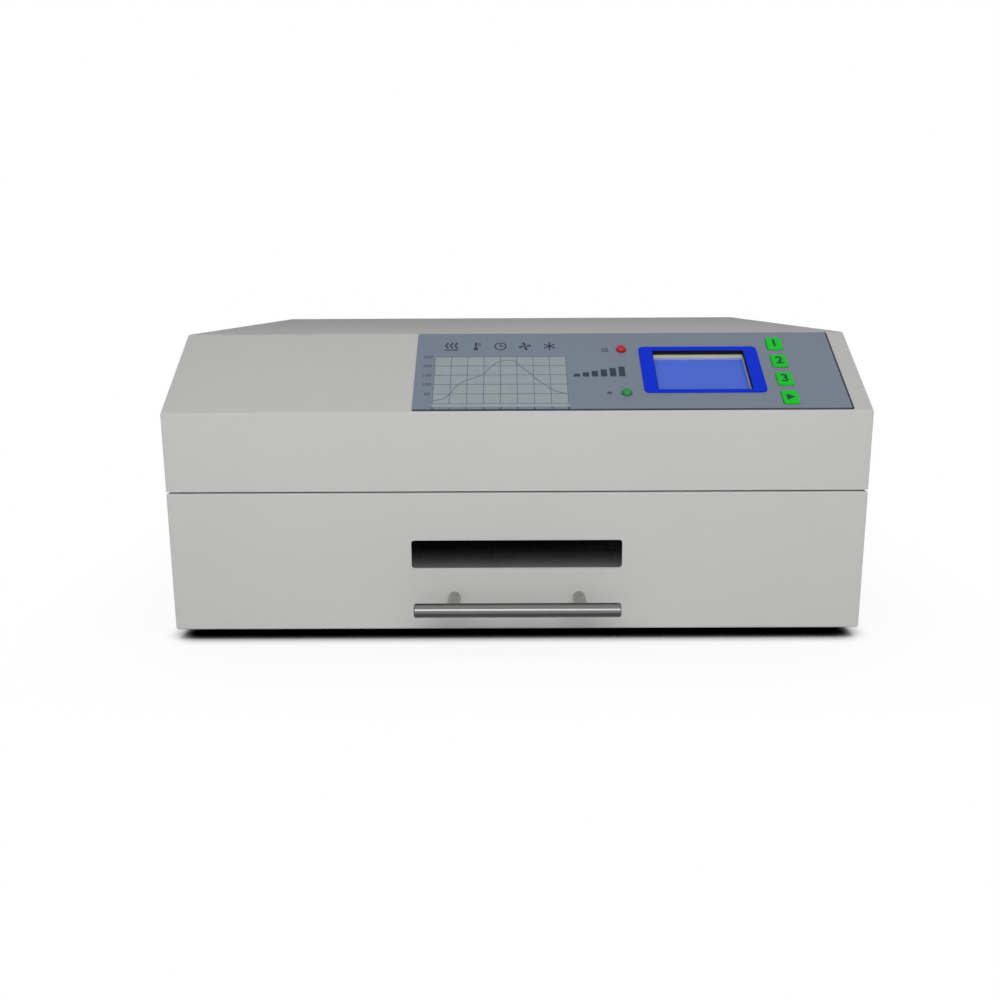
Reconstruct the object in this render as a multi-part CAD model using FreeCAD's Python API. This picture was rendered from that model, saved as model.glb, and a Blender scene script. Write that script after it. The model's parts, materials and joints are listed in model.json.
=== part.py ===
"""Benchtop infrared reflow oven with a pull-out drawer, in millimetres.

X runs across the front, Y from the drawer's front face to the rear, and Z up from the floor.
The finished pieces are moved together so that the origin is the middle of the base.
"""
import FreeCAD, Part
import math
import os
from collections import namedtuple
from FreeCAD import Placement, Rotation, Vector

# Casing
body_width = 530.0
body_depth = 480.0
casing_height = 223.0
fold_height = 169.0
slope_run = 80.5
sheet = 1.2
bend_radius = 2.0
fit_gap = 0.4
rear_inset = 1.0
rear_flange = 15.0
rear_lip = 15.0
bulkhead_flange = 12.0
shelf_setback = 30.0
vent_width = 3.6
side_vent_count = 12
side_vent_length = 36.0
side_vent_pitch = 10.0
side_vent_inset = 60.0
side_vent_drop = 42.0
floor_vent_count = 13
floor_vent_length = 22.0
floor_vent_pitch = 24.0

# Feet
foot_height = 8.0
foot_radius = 12.0
foot_taper = 1.5
foot_inset_x = 45.0
foot_inset_y = 50.0
foot_bore_radius = 5.5
foot_seat_thick = 4.0

# Drawer front, its window and its handle
drawer_height = 108.0
seam_gap = 1.2
front_depth = 20.0
gasket_thick = 1.5
gasket_width = 5.0
gasket_margin = 1.0
window_width = 161.0
window_height = 22.0
window_corner = 2.5
window_rise = 60.0
glass_thick = 4.0
glass_lap = 6.0
tunnel_lap = 3.0
tunnel_wall = 1.0
handle_length = 153.0
handle_radius = 5.4
handle_chamfer = 1.0
handle_rise = 25.7
handle_reach = 32.0
post_radius = 4.75
post_pitch = 96.0
post_screw_length = 13.0

# Chamber
mouth_cover = 8.0
liner_sheet = 0.8
liner_flange = 8.0
floor_board = 15.0
roof_board = 12.0
side_board = 11.0
rear_board = 10.0
rear_space = 45.0
fan_space = 20.0

# Heaters and probes
heater_count = 6
heater_drop = 18.0
heater_margin = 45.0
tube_radius = 5.5
tube_wall = 1.2
cap_radius = 8.0
cap_length = 14.0
cap_bore_depth = 9.0
cap_neck_radius = 4.0
cap_neck_length = 8.0
reflector_inset = 18.0
reflector_drop = 5.0
reflector_overhang = 25.0
reflector_skirt = 10.0
running_gap = 0.05
probe_radius = 1.5
probe_spread = 120.0
probe_drop = 36.0
gland_radius = 6.0
gland_height = 7.0

# Circulation fan
circulation_x = -70.0
impeller_radius = 33.0
impeller_hub_radius = 8.0
impeller_disc = 1.5
impeller_depth = 14.0
impeller_gap = 2.0
impeller_blades = 12
impeller_blade = 1.2
shaft_radius = 2.5
shaft_seat = 18.0
shaft_hole_radius = 4.5
motor_radius = 27.0
motor_depth = 26.0
motor_gap = 3.0
motor_leg_radius = 3.0
motor_leg_circle = 21.0
motor_leg_count = 3
baffle_hole_radius = 2.5
baffle_ring_pitch = 8.0
baffle_rings = 3
baffle_clear = 15.0

# Exhaust and cooling fans
exhaust_x = 110.0
cooling_x = -110.0
fan_size = 80.0
fan_depth = 25.0
fan_corner = 4.0
fan_bore = 38.0
fan_hole_pitch = 71.5
fan_hub_radius = 16.0
fan_seat_depth = 5.0
fan_seat_gap = 1.0
fan_strut = 4.0
rotor_depth = 16.0
rotor_tip_gap = 1.5
rotor_blades = 7
rotor_blade = 1.6
rotor_chord = 15.0
rotor_pitch = 35.0
rotor_shaft_radius = 1.5
rotor_shaft_seat = 3.5
guard_wire = 0.9
guard_rings = 3
guard_first_ring = 12.0
guard_ring_pitch = 10.0
guard_hub_radius = 6.0
guard_loop_radius = 6.0
guard_plate = 1.2
wire_weld = 0.3
duct_radius = 35.0
duct_lap = 1.0

# Mains inlet, fuse drawer and power switch
inlet_inset = 50.0
inlet_rise = 48.0
inlet_width = 27.0
inlet_height = 38.0
inlet_depth = 28.0
inlet_rim = 2.5
inlet_rim_thick = 2.5
socket_width = 24.0
socket_height = 16.0
socket_depth = 16.5
socket_chamfer = 4.0
socket_lift = 9.5
pin_thick = 2.0
pin_width = 4.0
pin_spread = 7.0
pin_step = 2.0
pin_setback = 3.0
pin_root = 6.0
fuse_width = 21.4
fuse_height = 11.0
fuse_lift = -11.0
fuse_depth = 22.0
fuse_gap = 0.3
fuse_face_thick = 1.5
fuse_face_rim = 0.8
fuse_radius = 2.6
fuse_length = 20.0
fuse_setback = 9.0
fuse_trough = 0.1
switch_pitch = 46.0
switch_width = 20.0
switch_height = 29.0
switch_depth = 24.0
switch_rim = 2.5
switch_rim_thick = 2.0
switch_wall = 1.4
switch_end_gap = 1.9
rocker_tilt = 10.0
rocker_side_gap = 0.4
rocker_pivot_depth = 3.0
rocker_crest = 7.0
rocker_dip = 5.0
rocker_shoulder = 2.0
rocker_root = 6.0
rocker_pin_radius = 1.5
rocker_pin_length = 1.3

# Drawer tray and slides
tray_gap = 5.0
tray_rise = 12.0
tray_height = 16.0
tray_sheet = 1.2
tray_ledge = 10.0
rack_bar_radius = 1.5
rack_bar_count = 5
rack_wire_radius = 1.0
rack_wire_count = 23
slide_rise = 40.0
slide_depth = 12.7
slide_height = 45.0
slide_sheet = 1.2
slide_setback = 6.0
outer_rail_lip = 9.5
middle_rail_gap = 0.8
middle_rail_lip = 8.5
inner_rail_lip = 8.7
ball_radius = 2.0
outer_ball_depth = 6.0
inner_ball_depth = 7.0
ball_count = 6
ball_pitch = 26.0
cage_start = 112.0
cage_thick = 0.8
cage_width = 5.6
cage_end = 15.0
cage_hole_gap = 0.1
arm_sheet = 1.5
arm_gap = 3.2
arm_height = 30.0
arm_flange = 13.0
notch_gap = 1.5

# Control panel, measured on the slope
panel_margin = 14.5
overlay_width = 328.5
overlay_edge = 1.2
overlay_thick = 0.5
overlay_corner = 1.5
display_from_edge = 107.0
bezel_width = 93.0
bezel_height = 56.0
bezel_thick = 0.8
bezel_corner = 4.0
pane_width = 72.0
pane_height = 48.0
pane_drop = 1.0
pane_corner = 1.0
view_width = 71.0
view_height = 40.0
gasket_pad = 1.8
frame_rim = 5.5
frame_depth = 5.0
frame_face = 1.85
frame_wall = 0.8
lcd_thick = 2.2
lcd_lap = 2.0
board_thick = 1.6
display_board_edge = 9.0
panel_drop = 1.2
led_from_edge = 167.0
led_spread = 26.5
led_radius = 3.9
led_rise = 0.1
panel_hole_gap = 0.3
key_from_edge = 45.0
key_width = 12.0
key_height = 15.0
key_pitch = 21.9
key_count = 4
key_rise = 1.5
key_corner = 1.5
key_edge = 0.4
key_rim = 1.0
key_rim_thick = 1.5
key_stem_radius = 1.7
key_stem_reach = 0.8
key_bore_depth = 1.6
key_board_width = 30.0
key_board_edge = 8.0
tact_size = 6.0
tact_height = 3.5
standoff_radius = 2.5
standoff_inset = 4.0

# Electronics on the shelf
board_width = 170.0
board_length = 120.0
board_x = -20.0
board_y = 240.0
board_lift = 8.0
capacitor_radius = 9.0
capacitor_height = 26.0
capacitor_pitch = 24.0
capacitor_count = 4
terminal_length = 60.0
terminal_depth = 14.0
terminal_height = 16.0
core_width = 62.0
core_depth = 34.0
core_height = 52.0
core_inset = 75.0
core_y = 240.0
winding_width = 36.0
winding_depth = 54.0
winding_height = 30.0
sink_width = 70.0
sink_length = 110.0
sink_base = 5.0
sink_fin = 1.6
sink_fin_height = 24.0
sink_fin_count = 9
sink_inset = 70.0
sink_y = 240.0
relay_width = 45.0
relay_depth = 34.0
relay_height = 22.0
relay_pitch = 50.0

# Fasteners
ScrewSize = namedtuple("ScrewSize", "shank head rise")
Screw = namedtuple("Screw", "seat way length")
screw_size = ScrewSize(shank=2.0, head=3.8, rise=1.8)
screw_hole_gap = 0.2
screw_recess = 0.9
case_screw_length = 8.0
fan_screw_length = 14.0
drawer_screw_length = 6.0
side_screw_inset = 60.0
side_screw_rise = 8.0
flange_screw_inset = 30.0
sill_screw_x = (-200.0, -70.0, 70.0, 200.0)
tray_screw_x = (-150.0, -50.0, 50.0, 150.0)

# Directions
X = Vector(1, 0, 0)
Y = Vector(0, 1, 0)
Z = Vector(0, 0, 1)
ORIGIN = Vector(0, 0, 0)
cut_margin = 1.0

# Faces of the casing
half_width = body_width / 2
cover_inner_x = half_width - sheet
wall_outer_x = cover_inner_x - fit_gap
wall_inner_x = wall_outer_x - sheet
base_z = foot_height
base_top_z = base_z + sheet
top_z = base_z + casing_height
fold_z = base_z + fold_height
drawer_top_z = base_z + drawer_height
nose_z = drawer_top_z + seam_gap
bulkhead_y = front_depth + gasket_thick
bulkhead_back_y = bulkhead_y + sheet
rear_outer_y = body_depth - rear_inset
rear_inner_y = rear_outer_y - sheet

# Faces of the chamber
cavity_height = drawer_height - sheet - floor_board - liner_sheet - mouth_cover
liner_floor_z = base_top_z + floor_board
cavity_floor_z = liner_floor_z + liner_sheet
cavity_roof_z = cavity_floor_z + cavity_height
cavity_middle_z = (cavity_floor_z + cavity_roof_z) / 2
liner_top_z = cavity_roof_z + liner_sheet
shelf_z = liner_top_z + roof_board + fit_gap
shelf_top_z = shelf_z + sheet
arm_x = wall_inner_x - slide_depth - arm_sheet
board_outer_x = arm_x - arm_gap
liner_outer_x = board_outer_x - side_board
cavity_half = liner_outer_x - liner_sheet
liner_back_y = rear_inner_y - rear_space - rear_board - liner_sheet
liner_rear_y = liner_back_y + liner_sheet
rear_board_y = liner_rear_y + rear_board
boards_front_y = bulkhead_back_y + bulkhead_flange + fit_gap
baffle_y = liner_back_y - fan_space
fan_front_y = rear_inner_y - fan_depth
cooling_z = (shelf_top_z + top_z - sheet) / 2

# Faces of the drawer
window_z = base_z + window_rise
handle_z = base_z + handle_rise
panel_front_y = front_depth - sheet
drawer_inner_x = half_width - sheet - fit_gap
drawer_floor_z = base_z + sheet + fit_gap
drawer_roof_z = drawer_top_z - sheet - fit_gap
tray_z = cavity_floor_z + tray_rise
tray_half = cavity_half - tray_gap
tray_back_y = baffle_y - tray_gap
slide_z = base_z + slide_rise
slide_front_y = bulkhead_back_y + slide_setback
slide_span = (slide_front_y, liner_back_y)

# The slope, with its own frame at the middle of the sheet's outer face
slope_rise = top_z - fold_z
slope_length = math.hypot(slope_run, slope_rise)
slope_angle = math.degrees(math.atan2(slope_rise, slope_run))
SLOPE = Placement(Vector(0, slope_run / 2, (fold_z + top_z) / 2), Rotation(X, slope_angle))
panel_right = half_width - panel_margin
display_x = panel_right - display_from_edge
key_x = panel_right - key_from_edge
led_x = panel_right - led_from_edge
pane_v = -pane_drop
frame_face_w = -sheet - gasket_pad
board_face_w = frame_face_w - frame_depth
display_board_v = pane_height / 2 + frame_rim + pane_drop + 2 * standoff_inset
key_places = [((key_count - 1) / 2 - index) * key_pitch - panel_drop for index in range(key_count)]
led_places = (led_spread - panel_drop, -led_spread - panel_drop)

nodes = {}


def add(name, *solids):
    """Keep one node, with each of its solids apart."""
    nodes[name] = list(solids)


def box(x, y, z):
    """A block from three (low, high) pairs."""
    return Part.makeBox(x[1] - x[0], y[1] - y[0], z[1] - z[0], Vector(x[0], y[0], z[0]))


def slab(x, y, z, radius, along):
    """A block whose four edges in one direction are rounded."""
    block = box(x, y, z)
    edges = [edge for edge in block.Edges if abs(edge.tangentAt(edge.FirstParameter).dot(along)) > 0.9]
    return block.makeFillet(radius, edges)


def around(middle, size):
    """The (low, high) pair of a size about its middle."""
    return (middle - size / 2, middle + size / 2)


def rod(start, along, radius, length):
    """A round bar."""
    return Part.makeCylinder(radius, length, start, along)


def prism(points, x):
    """A side profile of (y, z) points drawn out across X."""
    corners = [Vector(x[0], y, z) for y, z in points]
    wire = Part.makePolygon(corners + corners[:1])
    return Part.Face(wire).extrude(Vector(x[1] - x[0], 0, 0))


def join(solids):
    """Several touching solids as one."""
    return solids[0].multiFuse(solids[1:]).removeSplitter()


def both_sides(solid):
    """A solid and its mirror image across the middle."""
    return [solid, solid.mirror(ORIGIN, X)]


def on_slope(solid):
    """Move a solid from the slope's own frame to its place."""
    placed = solid.copy()
    placed.Placement = SLOPE.multiply(placed.Placement)
    return placed


def edges_at(solid, height):
    """The edges that lie flat at one height."""
    return [edge for edge in solid.Edges
            if all(abs(vertex.Point.z - height) < 1e-6 for vertex in edge.Vertexes)]


def screw_solid(screw):
    """A pan head screw with a cross recess."""
    head = rod(ORIGIN, Z, screw_size.head, screw_size.rise)
    head = head.makeFillet(screw_size.rise / 2, edges_at(head, screw_size.rise))
    shank = rod(ORIGIN, -Z, screw_size.shank, screw.length)
    reach = screw_size.shank
    deep = (screw_size.rise - screw_recess, screw_size.rise + cut_margin)
    slit = (-screw_recess / 2, screw_recess / 2)
    recess = [box((-reach, reach), slit, deep), box(slit, (-reach, reach), deep)]
    solid = join([head, shank]).cut(recess)
    solid.Placement = Placement(screw.seat, Rotation(-Z, screw.way))
    return solid


def screw_hole(screw):
    """The clearance hole that a screw needs."""
    start = screw.seat - screw.way * cut_margin
    return rod(start, screw.way, screw_size.shank + screw_hole_gap, screw.length + 2 * cut_margin)


def holes(screws):
    """The clearance holes of several screws."""
    return [screw_hole(screw) for screw in screws]


def side_screws(places):
    """Screws into both sides of the casing at (y, z) places."""
    return [Screw(Vector(side * half_width, y, z), -X * side, case_screw_length)
            for y, z in places for side in (-1, 1)]


def fan_corners(x, z):
    """The four fastening points of a fan."""
    reach = fan_hole_pitch / 2
    return [(x + reach * across, z + reach * up) for across in (-1, 1) for up in (-1, 1)]


def foot_places():
    """Where the four feet stand."""
    xs = (foot_inset_x - half_width, half_width - foot_inset_x)
    ys = (bulkhead_y + foot_inset_y, rear_inner_y - foot_inset_y)
    return [(x, y) for x in xs for y in ys]


def spread(first, last, count):
    """Even places from first to last."""
    return [first + (last - first) * index / (count - 1) for index in range(count)]


# Places that several pieces share
inlet_x = inlet_inset - half_width
inlet_z = base_z + inlet_rise
switch_x = inlet_x + switch_pitch
fans = ((exhaust_x, cavity_middle_z), (cooling_x, cooling_z))
heater_z = cavity_roof_z - heater_drop
heater_ys = spread(bulkhead_back_y + heater_margin, baffle_y - heater_margin, heater_count)
heater_pitch = heater_ys[1] - heater_ys[0]
probe_y = heater_ys[heater_count // 2 - 1] + heater_pitch / 2
reflector_half = cavity_half - reflector_inset
reflector_z = cavity_roof_z - reflector_drop - liner_sheet
bracket_inner_x = reflector_half - liner_sheet

wall_screws = side_screws([(y, base_z + side_screw_rise) for y in spread(
    bulkhead_y + side_screw_inset, rear_inner_y - side_screw_inset, 3)])
flange_screws = side_screws([(rear_inner_y - rear_flange / 2, z) for z in (
    shelf_top_z + flange_screw_inset, top_z - flange_screw_inset)])
lip_screws = [Screw(Vector(x, rear_outer_y, base_z + side_screw_rise), -Y, case_screw_length)
              for x in sill_screw_x]
sill_screws = [Screw(Vector(x, bulkhead_back_y + bulkhead_flange / 2, base_z), Z, case_screw_length)
               for x in sill_screw_x]
shelf_screws = [Screw(Vector(x, bulkhead_back_y + bulkhead_flange / 2, shelf_top_z), -Z, case_screw_length)
                for x in sill_screw_x]
foot_screws = [Screw(Vector(x, y, base_z - foot_seat_thick), Z, foot_seat_thick + case_screw_length)
               for x, y in foot_places()]
fan_screws = [Screw(Vector(x, rear_outer_y + guard_plate, z), -Y, fan_screw_length)
              for fan in fans for x, z in fan_corners(*fan)]
post_screws = [Screw(Vector(side * post_pitch / 2, sheet, handle_z), -Y, post_screw_length)
               for side in (-1, 1)]
arm_screws = [Screw(Vector(side * (arm_x + arm_flange / 2), bulkhead_y, slide_z + rise), -Y,
                    drawer_screw_length) for side in (-1, 1) for rise in (-arm_height / 3, arm_height / 3)]
tray_screws = [Screw(Vector(x, front_depth + tray_sheet, tray_z + tray_height / 2), -Y, drawer_screw_length)
               for x in tray_screw_x]


def key_opening(gap, w):
    """The four key openings through the panel, in the slope's frame."""
    return [slab(around(key_x, key_width + 2 * gap), around(v, key_height + 2 * gap), w, key_corner + gap, Z)
            for v in key_places]


def led_opening(gap, w):
    """The two lamp openings through the panel, in the slope's frame."""
    return [rod(Vector(led_x, v, w[0]), Z, led_radius + gap, w[1] - w[0]) for v in led_places]


def pane_opening(w):
    """The display's opening, in the slope's frame."""
    return slab(around(display_x, pane_width), around(pane_v, pane_height), w, pane_corner, Z)


def panel_openings(w):
    """All that is cut through the slope and its overlay."""
    return [pane_opening(w)] + key_opening(panel_hole_gap, w) + led_opening(panel_hole_gap, w)


def cover_bends(outer):
    """The outer edges of the cover that are folded."""
    folds = [(0, fold_z), (slope_run, top_z)]
    corners = [(0, nose_z)] + folds + [(body_depth, top_z)]

    def near(vertex, places):
        point = vertex.Point
        return any(math.hypot(point.y - y, point.z - z) < 1e-6 for y, z in places)

    bends = []
    for edge in outer.Edges:
        across = abs(edge.tangentAt(edge.FirstParameter).dot(X)) > 0.9
        wanted = folds if across else corners
        if all(near(vertex, wanted) for vertex in edge.Vertexes):
            bends.append(edge)
    return bends


def make_top_cover():
    """The folded shell: top, slope, upper front with a returned lip, and both sides."""
    profile = [(bulkhead_y, base_z), (bulkhead_y, nose_z), (0, nose_z), (0, fold_z),
               (slope_run, top_z), (body_depth, top_z), (body_depth, base_z)]
    outer = prism(profile, (-half_width, half_width))
    outer = outer.makeFillet(bend_radius, cover_bends(outer))
    pitch = slope_rise / slope_run
    sheet_fall = sheet * slope_length / slope_run
    front_z = fold_z + sheet * pitch - sheet_fall
    brow_y = (top_z - sheet - fold_z + sheet_fall) / pitch
    below = base_z - cut_margin
    behind = body_depth + cut_margin
    hollow = prism([(front_depth, below), (front_depth, nose_z + sheet), (sheet, nose_z + sheet),
                    (sheet, front_z), (brow_y, top_z - sheet), (behind, top_z - sheet), (behind, below)],
                   (-cover_inner_x, cover_inner_x))
    through = (-half_width - cut_margin, half_width + cut_margin)
    vent_z = top_z - side_vent_drop
    vents = [slab(through, around(rear_inner_y - side_vent_inset - index * side_vent_pitch, vent_width),
                  around(vent_z, side_vent_length), vent_width / 2.1, X) for index in range(side_vent_count)]
    openings = [on_slope(tool) for tool in panel_openings((-2 * sheet, sheet))]
    add("top_cover", outer.cut([hollow] + vents + openings + holes(wall_screws + flange_screws)))


def make_base_pan():
    """The chassis tub: floor, side walls and rear lip."""
    span = (bulkhead_y, rear_inner_y)
    floor = box((-wall_outer_x, wall_outer_x), span, (base_z, base_top_z))
    walls = both_sides(box((wall_inner_x, wall_outer_x), span, (base_z, shelf_z)))
    lip = box((-wall_inner_x, wall_inner_x), (rear_inner_y - sheet, rear_inner_y), (base_z, base_z + rear_lip))
    vent_y = (rear_board_y + rear_inner_y) / 2
    vent_reach = floor_vent_pitch * (floor_vent_count - 1) / 2
    vents = [slab(around(x, vent_width), around(vent_y, floor_vent_length),
                  (base_z - cut_margin, base_top_z + cut_margin), vent_width / 2.1, Z)
             for x in spread(-vent_reach, vent_reach, floor_vent_count)]
    pan = join([floor, lip] + walls)
    add("base_pan", pan.cut(vents + holes(wall_screws + lip_screws + sill_screws + foot_screws)))


def make_rear_panel():
    """The rear sheet with its flanges, fan holes and mains cut-outs."""
    foot = base_top_z + fit_gap
    head = top_z - sheet - fit_gap
    flange = (rear_inner_y - rear_flange, rear_outer_y)
    plate = box((-wall_outer_x, wall_outer_x), (rear_inner_y, rear_outer_y), (foot, head))
    brow = box((-wall_outer_x, wall_outer_x), flange, (head - sheet, head))
    cheeks = both_sides(box((wall_inner_x, wall_outer_x), flange, (shelf_top_z + fit_gap, head)))
    through = (rear_inner_y - cut_margin, rear_outer_y + cut_margin)
    cuts = [rod(Vector(x, through[0], z), Y, fan_bore, through[1] - through[0]) for x, z in fans]
    cuts.append(box(around(inlet_x, inlet_width), through, around(inlet_z, inlet_height)))
    cuts.append(box(around(switch_x, switch_width), through, around(inlet_z, switch_height)))
    add("rear_panel", join([plate, brow] + cheeks).cut(cuts + holes(flange_screws + lip_screws + fan_screws)))


def make_front_bulkhead():
    """The sheet round the chamber's mouth, notched where the slides run."""
    half = wall_inner_x - fit_gap
    span = (bulkhead_y, bulkhead_back_y + bulkhead_flange)
    plate = box((-half, half), (bulkhead_y, bulkhead_back_y), (base_top_z, shelf_z))
    sill = box((-half, half), span, (base_top_z, base_top_z + sheet))
    head = box((-half, half), span, (shelf_z - sheet, shelf_z))
    through = (bulkhead_y - cut_margin, bulkhead_back_y + cut_margin)
    mouth = box((-cavity_half, cavity_half), through, (cavity_floor_z, cavity_roof_z))
    notch = box((arm_x - notch_gap, half + cut_margin), through, around(slide_z, slide_height + 2 * notch_gap))
    add("front_bulkhead", join([plate, sill, head]).cut(
        [mouth] + both_sides(notch) + holes(sill_screws + shelf_screws)))


def probe_rods(radius):
    """The straight ways of both probes, from the shelf down into the chamber."""
    tip_z = cavity_roof_z - probe_drop
    return [rod(Vector(x, probe_y, tip_z), Z, radius, shelf_top_z + gland_height - tip_z)
            for x in (-probe_spread, probe_spread)]


def motor_legs(radius, start_y, length):
    """The motor's three legs, or the holes for them."""
    legs = []
    for index in range(motor_leg_count):
        turn = 2 * math.pi * index / motor_leg_count + math.pi / 2
        foot = Vector(circulation_x + motor_leg_circle * math.cos(turn), start_y,
                      cavity_middle_z + motor_leg_circle * math.sin(turn))
        legs.append(rod(foot, Y, radius, length))
    return legs


def make_chamber():
    """The liner, the insulation round it and the baffle in front of its fan."""
    shell = box((-liner_outer_x, liner_outer_x), (bulkhead_back_y, liner_rear_y), (liner_floor_z, liner_top_z))
    flange = box((-cavity_half - liner_flange, cavity_half + liner_flange),
                 (bulkhead_back_y, bulkhead_back_y + liner_sheet),
                 (cavity_floor_z - liner_flange, cavity_roof_z + liner_flange))
    cavity = box((-cavity_half, cavity_half), (bulkhead_back_y - cut_margin, liner_back_y),
                 (cavity_floor_z, cavity_roof_z))
    shaft_way = rod(Vector(circulation_x, liner_back_y - cut_margin, cavity_middle_z), Y, shaft_hole_radius,
                    rear_board + liner_sheet + 2 * cut_margin)
    duct_way = rod(Vector(exhaust_x, liner_back_y - cut_margin, cavity_middle_z), Y, duct_radius - duct_lap - sheet,
                   liner_sheet + 2 * cut_margin)
    liner = join([shell, flange]).cut([cavity, shaft_way, duct_way] + probe_rods(probe_radius + fit_gap))
    add("chamber_liner", liner)

    span = (boards_front_y, liner_rear_y)
    stack = (base_top_z, liner_top_z + roof_board)
    across = (-liner_outer_x, liner_outer_x)
    floor = box(across, span, (base_top_z, liner_floor_z))
    roof = box(across, span, (liner_top_z, stack[1]))
    sides = both_sides(box((liner_outer_x, board_outer_x), span, stack))
    rear = box((-board_outer_x, board_outer_x), (liner_rear_y, rear_board_y), stack)
    duct_bore = rod(Vector(exhaust_x, liner_rear_y, cavity_middle_z), Y, duct_radius + fit_gap, rear_board)
    leg_bores = motor_legs(motor_leg_radius + fit_gap, liner_rear_y, rear_board)
    foot_bores = [rod(screw.seat, Z, screw_size.head, screw.length + cut_margin) for screw in foot_screws]
    boards = [floor.cut(foot_bores), roof.cut(probe_rods(probe_radius + fit_gap))]
    boards += [side.cut(foot_bores) for side in sides]
    boards.append(rear.cut([shaft_way, duct_bore] + leg_bores + foot_bores))
    add("insulation_boards", *boards)

    left_x = fit_gap - cavity_half
    right_x = exhaust_x - duct_radius - baffle_clear
    baffle_up = (cavity_floor_z, cavity_roof_z - fit_gap)
    plate = box((left_x, right_x), (baffle_y, baffle_y + liner_sheet), baffle_up)
    ends = [box((x, x + liner_sheet), (baffle_y, liner_back_y), baffle_up) for x in (left_x, right_x - liner_sheet)]
    perforations = []
    for ring in range(baffle_rings + 1):
        for index in range(max(1, 6 * ring)):
            turn = 2 * math.pi * index / max(1, 6 * ring)
            reach = ring * baffle_ring_pitch
            start = Vector(circulation_x + reach * math.cos(turn), baffle_y - cut_margin,
                           cavity_middle_z + reach * math.sin(turn))
            perforations.append(rod(start, Y, baffle_hole_radius, liner_sheet + 2 * cut_margin))
    add("fan_baffle", join([plate] + ends).cut(perforations))


def make_heaters():
    """The reflector with its end flanges, the quartz tubes in it and the two probes."""
    span = (heater_ys[0] - reflector_overhang, heater_ys[-1] + reflector_overhang)
    roof = box((-reflector_half, reflector_half), span, (reflector_z, reflector_z + liner_sheet))
    skirts = both_sides(box((bracket_inner_x, reflector_half), span,
                            (heater_z - reflector_skirt, cavity_roof_z)))
    neck_holes = [rod(Vector(-reflector_half - cut_margin, y, heater_z), X, cap_neck_radius + running_gap,
                      2 * (reflector_half + cut_margin)) for y in heater_ys]
    add("reflector", join([roof] + skirts).cut(neck_holes + probe_rods(probe_radius + fit_gap)))

    tube_half = bracket_inner_x - cap_length + cap_bore_depth
    tubes = []
    caps = []
    for y in heater_ys:
        start = Vector(-tube_half, y, heater_z)
        bore = rod(start, X, tube_radius - tube_wall, 2 * tube_half)
        tubes.append(rod(start, X, tube_radius, 2 * tube_half).cut(bore))
        barrel = rod(Vector(bracket_inner_x - cap_length, y, heater_z), X, cap_radius, cap_length)
        neck = rod(Vector(bracket_inner_x, y, heater_z), X, cap_neck_radius, cap_neck_length)
        seat = rod(Vector(bracket_inner_x - cap_length, y, heater_z), X, tube_radius + running_gap, cap_bore_depth)
        caps += both_sides(join([barrel, neck]).cut(seat))
    add("heater_tubes", *tubes)
    add("heater_end_caps", *caps)

    probes = []
    for sheath in probe_rods(probe_radius):
        x = sheath.BoundBox.Center.x
        ring = [Vector(x + gland_radius * math.cos(turn * math.pi / 3),
                       probe_y + gland_radius * math.sin(turn * math.pi / 3), shelf_top_z) for turn in range(7)]
        gland = Part.Face(Part.makePolygon(ring)).extrude(Z * (gland_height - cut_margin))
        probes.append(join([gland, sheath]))
    add("thermocouples", *probes)


def make_circulation_fan():
    """The motor behind the chamber, and the impeller on its shaft."""
    motor_y = rear_board_y + motor_gap
    centre = Vector(circulation_x, motor_y, cavity_middle_z)
    can = rod(centre, Y, motor_radius, motor_depth)
    legs = motor_legs(motor_leg_radius, liner_rear_y, motor_y - liner_rear_y)
    bore = rod(centre, Y, shaft_radius + running_gap, shaft_seat + cut_margin)
    add("circulation_motor", join([can] + legs).cut(bore))

    disc_y = liner_back_y - impeller_gap - impeller_disc
    front_y = disc_y + impeller_disc - impeller_depth
    disc = rod(Vector(circulation_x, disc_y, cavity_middle_z), Y, impeller_radius, impeller_disc)
    hub = rod(Vector(circulation_x, front_y, cavity_middle_z), Y, impeller_hub_radius, impeller_depth)
    shaft = rod(Vector(circulation_x, front_y, cavity_middle_z), Y, shaft_radius, motor_y + shaft_seat - front_y)
    blade = box((impeller_hub_radius - cut_margin, impeller_radius), (front_y, disc_y),
                around(0, impeller_blade))
    blades = []
    for index in range(impeller_blades):
        turned = blade.copy()
        turned.rotate(ORIGIN, Y, 360.0 * index / impeller_blades)
        turned.translate(Vector(circulation_x, 0, cavity_middle_z))
        blades.append(turned)
    add("circulation_fan", join([disc, hub, shaft] + blades))


def make_exhaust_duct():
    """The round duct from the chamber to the exhaust fan, with a square end."""
    start = Vector(exhaust_x, liner_rear_y, cavity_middle_z)
    length = fan_front_y - liner_rear_y
    tube = rod(start, Y, duct_radius, length)
    end = box(around(exhaust_x, fan_size), (fan_front_y - liner_sheet, fan_front_y),
              around(cavity_middle_z, fan_size))
    bore = rod(start - Y * cut_margin, Y, duct_radius - liner_sheet, length + 2 * cut_margin)
    corner_holes = [rod(Vector(x, fan_front_y - liner_sheet - cut_margin, z), Y,
                        screw_size.shank + screw_hole_gap, liner_sheet + 2 * cut_margin)
                    for x, z in fan_corners(exhaust_x, cavity_middle_z)]
    add("exhaust_duct", join([tube, end]).cut([bore] + corner_holes))


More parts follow.
